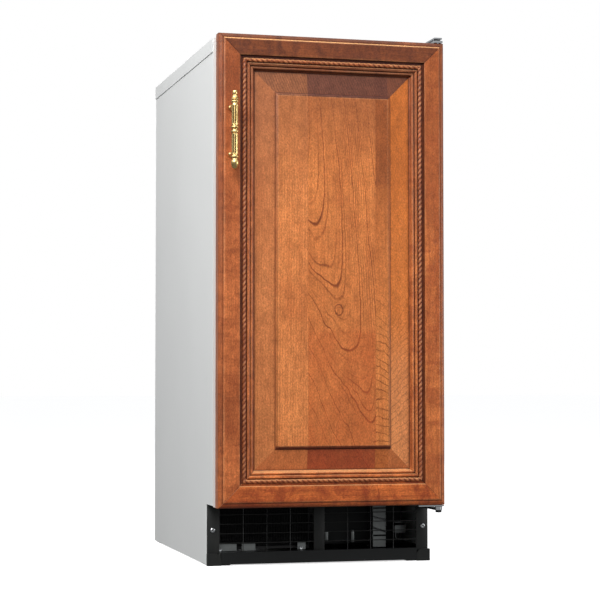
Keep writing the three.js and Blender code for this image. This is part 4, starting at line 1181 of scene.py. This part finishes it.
def build_liner():
    """One moulded tub, open to the front, with round corners and a lip behind the door seal."""
    x, front, back, low, high, wall, radius = 149.5, -222.2, 229.5, 235.5, 809.5, 2.5, 16.0

    def outline(inset, y, r):
        return rim(x - inset, low + inset, high - inset, y, r)

    inner = [outline(radius * (1 - math.cos(t)), back - radius * (1 - math.sin(t)), radius * math.cos(t) + 4)
             for t in (math.radians(a) for a in range(0, 91, 18))]
    tub = Shape().skin([outline(40, back + wall, 6), outline(-wall, back + wall, radius + wall),
                        outline(-wall, front, radius + wall), outline(0, front, radius)] + inner
                       + [outline(40, back, 6)])
    # Mould ribs down the back wall.
    for rib in (-96, -48, 48, 96):
        tub.box(rib - 5, rib + 5, back - 1.2, back + 0.6, low + 24, high - 120, 0.55)
    # The pocket that the scoop stands in: floor, front, back and side.
    x0, x1, y0, y1, z0, z1, thick = -148.8, -91, -178, -102, 462, 506, 2.8
    for block in ((x0, x1, y0, y1, z0, 465), (x0, x1, y0, y0 + thick, z0, z1),
                  (x0, x1, y1 - thick, y1, z0, z1), (x1 - thick, x1, y0, y1, z0, z1)):
        tub.box(*block, 1.3, 3)
    tub.done("bin_tub", "cabinet", "liner", "bin_liner", 40)
    ring = Shape()
    ring.lathe([(5, 0.1), (15, 0.1), (16, 0.7), (15, 1.4), (5, 1.1), (5, 0.1)], "z", (0, 150, low), 32)
    for k in range(-2, 3):
        y = 150 + k * 4.6
        ring.box(-13, 13, y - 0.7, y + 0.7, low + 0.3, low + 1.3, 0.2, 1)
    ring.done("bin_drain_grid", "cabinet", "liner", sharp=40)


def build_scoop():
    """Mouth down in its pocket: a bowl with round corners, a waist and a ribbed grip."""
    cx, cy = -120.5, -140

    def oval(half_x, half_y, z, power):
        points = []
        for k in range(40):
            t = 2 * math.pi * k / 40
            c, s = math.cos(t), math.sin(t)
            points.append((cx + half_x * math.copysign(abs(c) ** power, c),
                           cy + half_y * math.copysign(abs(s) ** power, s), z))
        return points

    inside = [(21.7, 30.0, 466.4, 0.3), (21.7, 30.2, 510, 0.32), (21.3, 29.6, 536, 0.38),
              (19, 26.5, 545, 0.5), (12, 15, 549, 0.8), (4, 5, 549.8, 1.0)]
    outside = [(23.3, 31.6, 466.4, 0.3), (23.5, 32, 470, 0.3), (23.5, 32, 510, 0.32), (23.3, 31.6, 536, 0.36),
               (21.5, 29.5, 546, 0.45), (17, 22, 551, 0.6), (12, 11, 553.6, 0.8)]
    grip = [(9, 7.6, 557, 0.9), (6.6, 6.6, 566, 1.0), (6.4, 6.4, 578, 1.0), (7.6, 7.0, 592, 1.0),
            (8.4, 7.2, 606, 1.0), (7.8, 7.0, 620, 1.0), (7.4, 6.8, 630, 1.0), (6.2, 5.8, 636.5, 1.0),
            (3.5, 3.2, 639.6, 1.0)]
    scoop = Shape().skin([oval(*row) for row in inside[::-1] + outside + grip])
    for k in range(5):
        z = 590 + k * 8
        scoop.lathe([(6.2, z), (8.5, z + 0.9), (8.6, z + 1.6), (6.2, z + 2.5), (6.0, z + 1.2), (6.2, z)],
                    "z", (cx, cy, 0), 24)
    scoop.done("scoop_moulded", "scoop", "scoop_plastic", "ice_scoop", 40)


def build_door_inside():
    """Seal with its folds, and the moulded inner face that it is pressed into."""
    corner = 10.0
    section = [(0, -233.1), (0, -231.6), (-1.2, -230.6), (-0.2, -229.4), (-1.2, -228.2), (0, -227.2),
               (0, -225.2), (-1.2, -224.1), (-14.6, -224.1), (-16, -225.2), (-16, -227.0), (-14.6, -228.2),
               (-15.8, -229.4), (-14.6, -230.6), (-16, -231.6), (-16, -233.1)]
    loops = [[(cx + (corner + u) * c, y, cz + (corner + u) * s) for u, y in section]
             for cx, cz, c, s in corners(181, 105, 843, corner, 5)]
    seal = Shape().skin(loops, loop=True)
    seal.done("door_seal_folded", "door", "seal", "door_gasket", 40)

    # From the lip inwards: half width, bottom, top, depth and corner radius.
    low, high, x = 99.5, 849, 187.0
    rows = [(x, low, high, -234.7, 4), (x, low, high, -233.6, 4), (x - 0.6, low + 0.6, high - 0.6, -233.4, 4),
            (143, 259, 791, -233.4, 8), (140.6, 261.4, 788.6, -232.4, 5.6), (140, 262, 788, -230.5, 5),
            (140, 262, 788, -208.2, 5), (139.6, 262.4, 787.6, -206.9, 4.8),
            (138.4, 263.6, 786.4, -206.1, 4.5), (136, 266, 784, -206, 4), (112, 290, 760, -206, 10),
            (110.8, 291.2, 758.8, -206.2, 9.5), (110.2, 291.8, 758.2, -206.8, 9.2), (109, 293, 757, -207, 9),
            (60, 342, 708, -207, 6)]
    inner = Shape().skin([rim(*row) for row in rows])
    for k in range(9):
        z = 345 + k * 45
        inner.box(-96, 96, -207.4, -206.1, z - 5, z + 5, 0.6)
    inner.done("door_inner_face", "door", "liner", "door_liner", 40)


def build_water_unit():
    pump = Shape().lathe([(0, 690), (15, 690), (16.5, 691), (18, 695), (18, 738), (18.6, 738.6), (18.6, 741),
                          (17, 742), (13, 746), (12, 748), (0, 748)], "z", (98, 60, 0), 48)
    pump.box(60.3, 98, 50, 70, 692, 700, 1.5)
    pump.tube([(98, 60, 692), (98, 60, 684), (70, 60, 684), (61, 60, 684)], 3.4, 6, 14)
    pump.done("pump_can", "water_unit", "black_paint", "pump_motor")
    motor = Shape().box(86, 142, -30, 30, 768, 809.2, 3.5, 3)
    motor.lathe([(0, 76), (3.4, 76), (4, 76.6), (4, 88), (0, 88)], "x", (0, 0, 776), 28)
    for py in (-24, 24):
        for pz in (774, 803):
            motor.lathe([(0, 85.2), (2.8, 85.2), (3.2, 85.9), (3.2, 86.4), (0, 86.4)], "x", (0, py, pz), 16)
    motor.done("actuator_motor_case", "cabinet", "galvanised", "actuator_motor")
    x, z = 122, 642
    paddle = Shape().lathe([(0, -119.4), (1.7, -119.4), (2, -119), (2, -115), (4.4, -115), (5, -114.4),
                            (5, -85.6), (4.4, -85), (2, -85), (2, -81), (1.7, -80.6), (0, -80.6)],
                           "y", (x, 0, z), 28)
    paddle.box(x - 1.5, x + 1.5, -115, -85, z - 118, z - 3, 1.2, 3)
    paddle.done("bin_lever_pressed", "paddle", "stainless", "bin_lever")


def build_floor():
    """The white stage under the object."""
    finish = Surface("floor_pale", 0.9)
    finish.colour(finish.mix(finish.noise(3, 2), (0.86, 0.86, 0.86, 1), (0.9, 0.9, 0.9, 1)))
    finish.shader.inputs["Emission Color"].default_value = (1, 1, 1, 1)
    finish.shader.inputs["Emission Strength"].default_value = 0.62
    half = 30
    outline = [(-half, -half, 0), (half, -half, 0), (half, half, 0), (-half, half, 0)]
    mesh = bpy.data.meshes.new("floor")
    mesh.from_pydata(outline, [], [(0, 1, 2, 3)])
    mesh.materials.append(finish.material)
    floor = bpy.data.objects.new("floor", mesh)
    bpy.context.scene.collection.objects.link(floor)
    floor.visible_diffuse = False
    floor.visible_glossy = False


# ---- build ----

make_camera()
make_world()
finishes = make_finishes()
dress_cad()
for build in (
    build_frame, build_panel, build_handle, build_screws, build_grille, build_hinge_details,
    build_condenser, build_front_services, build_cooling, build_compressor, build_pipes, build_fittings,
    build_back, build_liner, build_scoop, build_door_inside, build_water_unit, build_floor,
):
    build()

# Name, place, target, size in metres and power in watts.
for row in (
    ("key", (-1.25, -2.3, 2.15), (0, -0.15, 0.5), (1.5, 1.3), 72),
    ("above", (0.1, -1.2, 2.1), (0, -0.25, 0.4), (1.4, 0.5), 6),
    ("fill", (2.3, -1.7, 0.6), (0, -0.2, 0.2), (1.0, 1.0), 22),
    ("side", (-1.7, -0.7, 1.75), (-0.2, -0.1, 0.72), (0.7, 1.2), 22),
    ("back", (1.2, 2.6, 1.9), (0, 0.2, 0.5), (1.6, 1.6), 18),
):
    area_light(*row)

bpy.context.scene.view_settings.view_transform = "Standard"
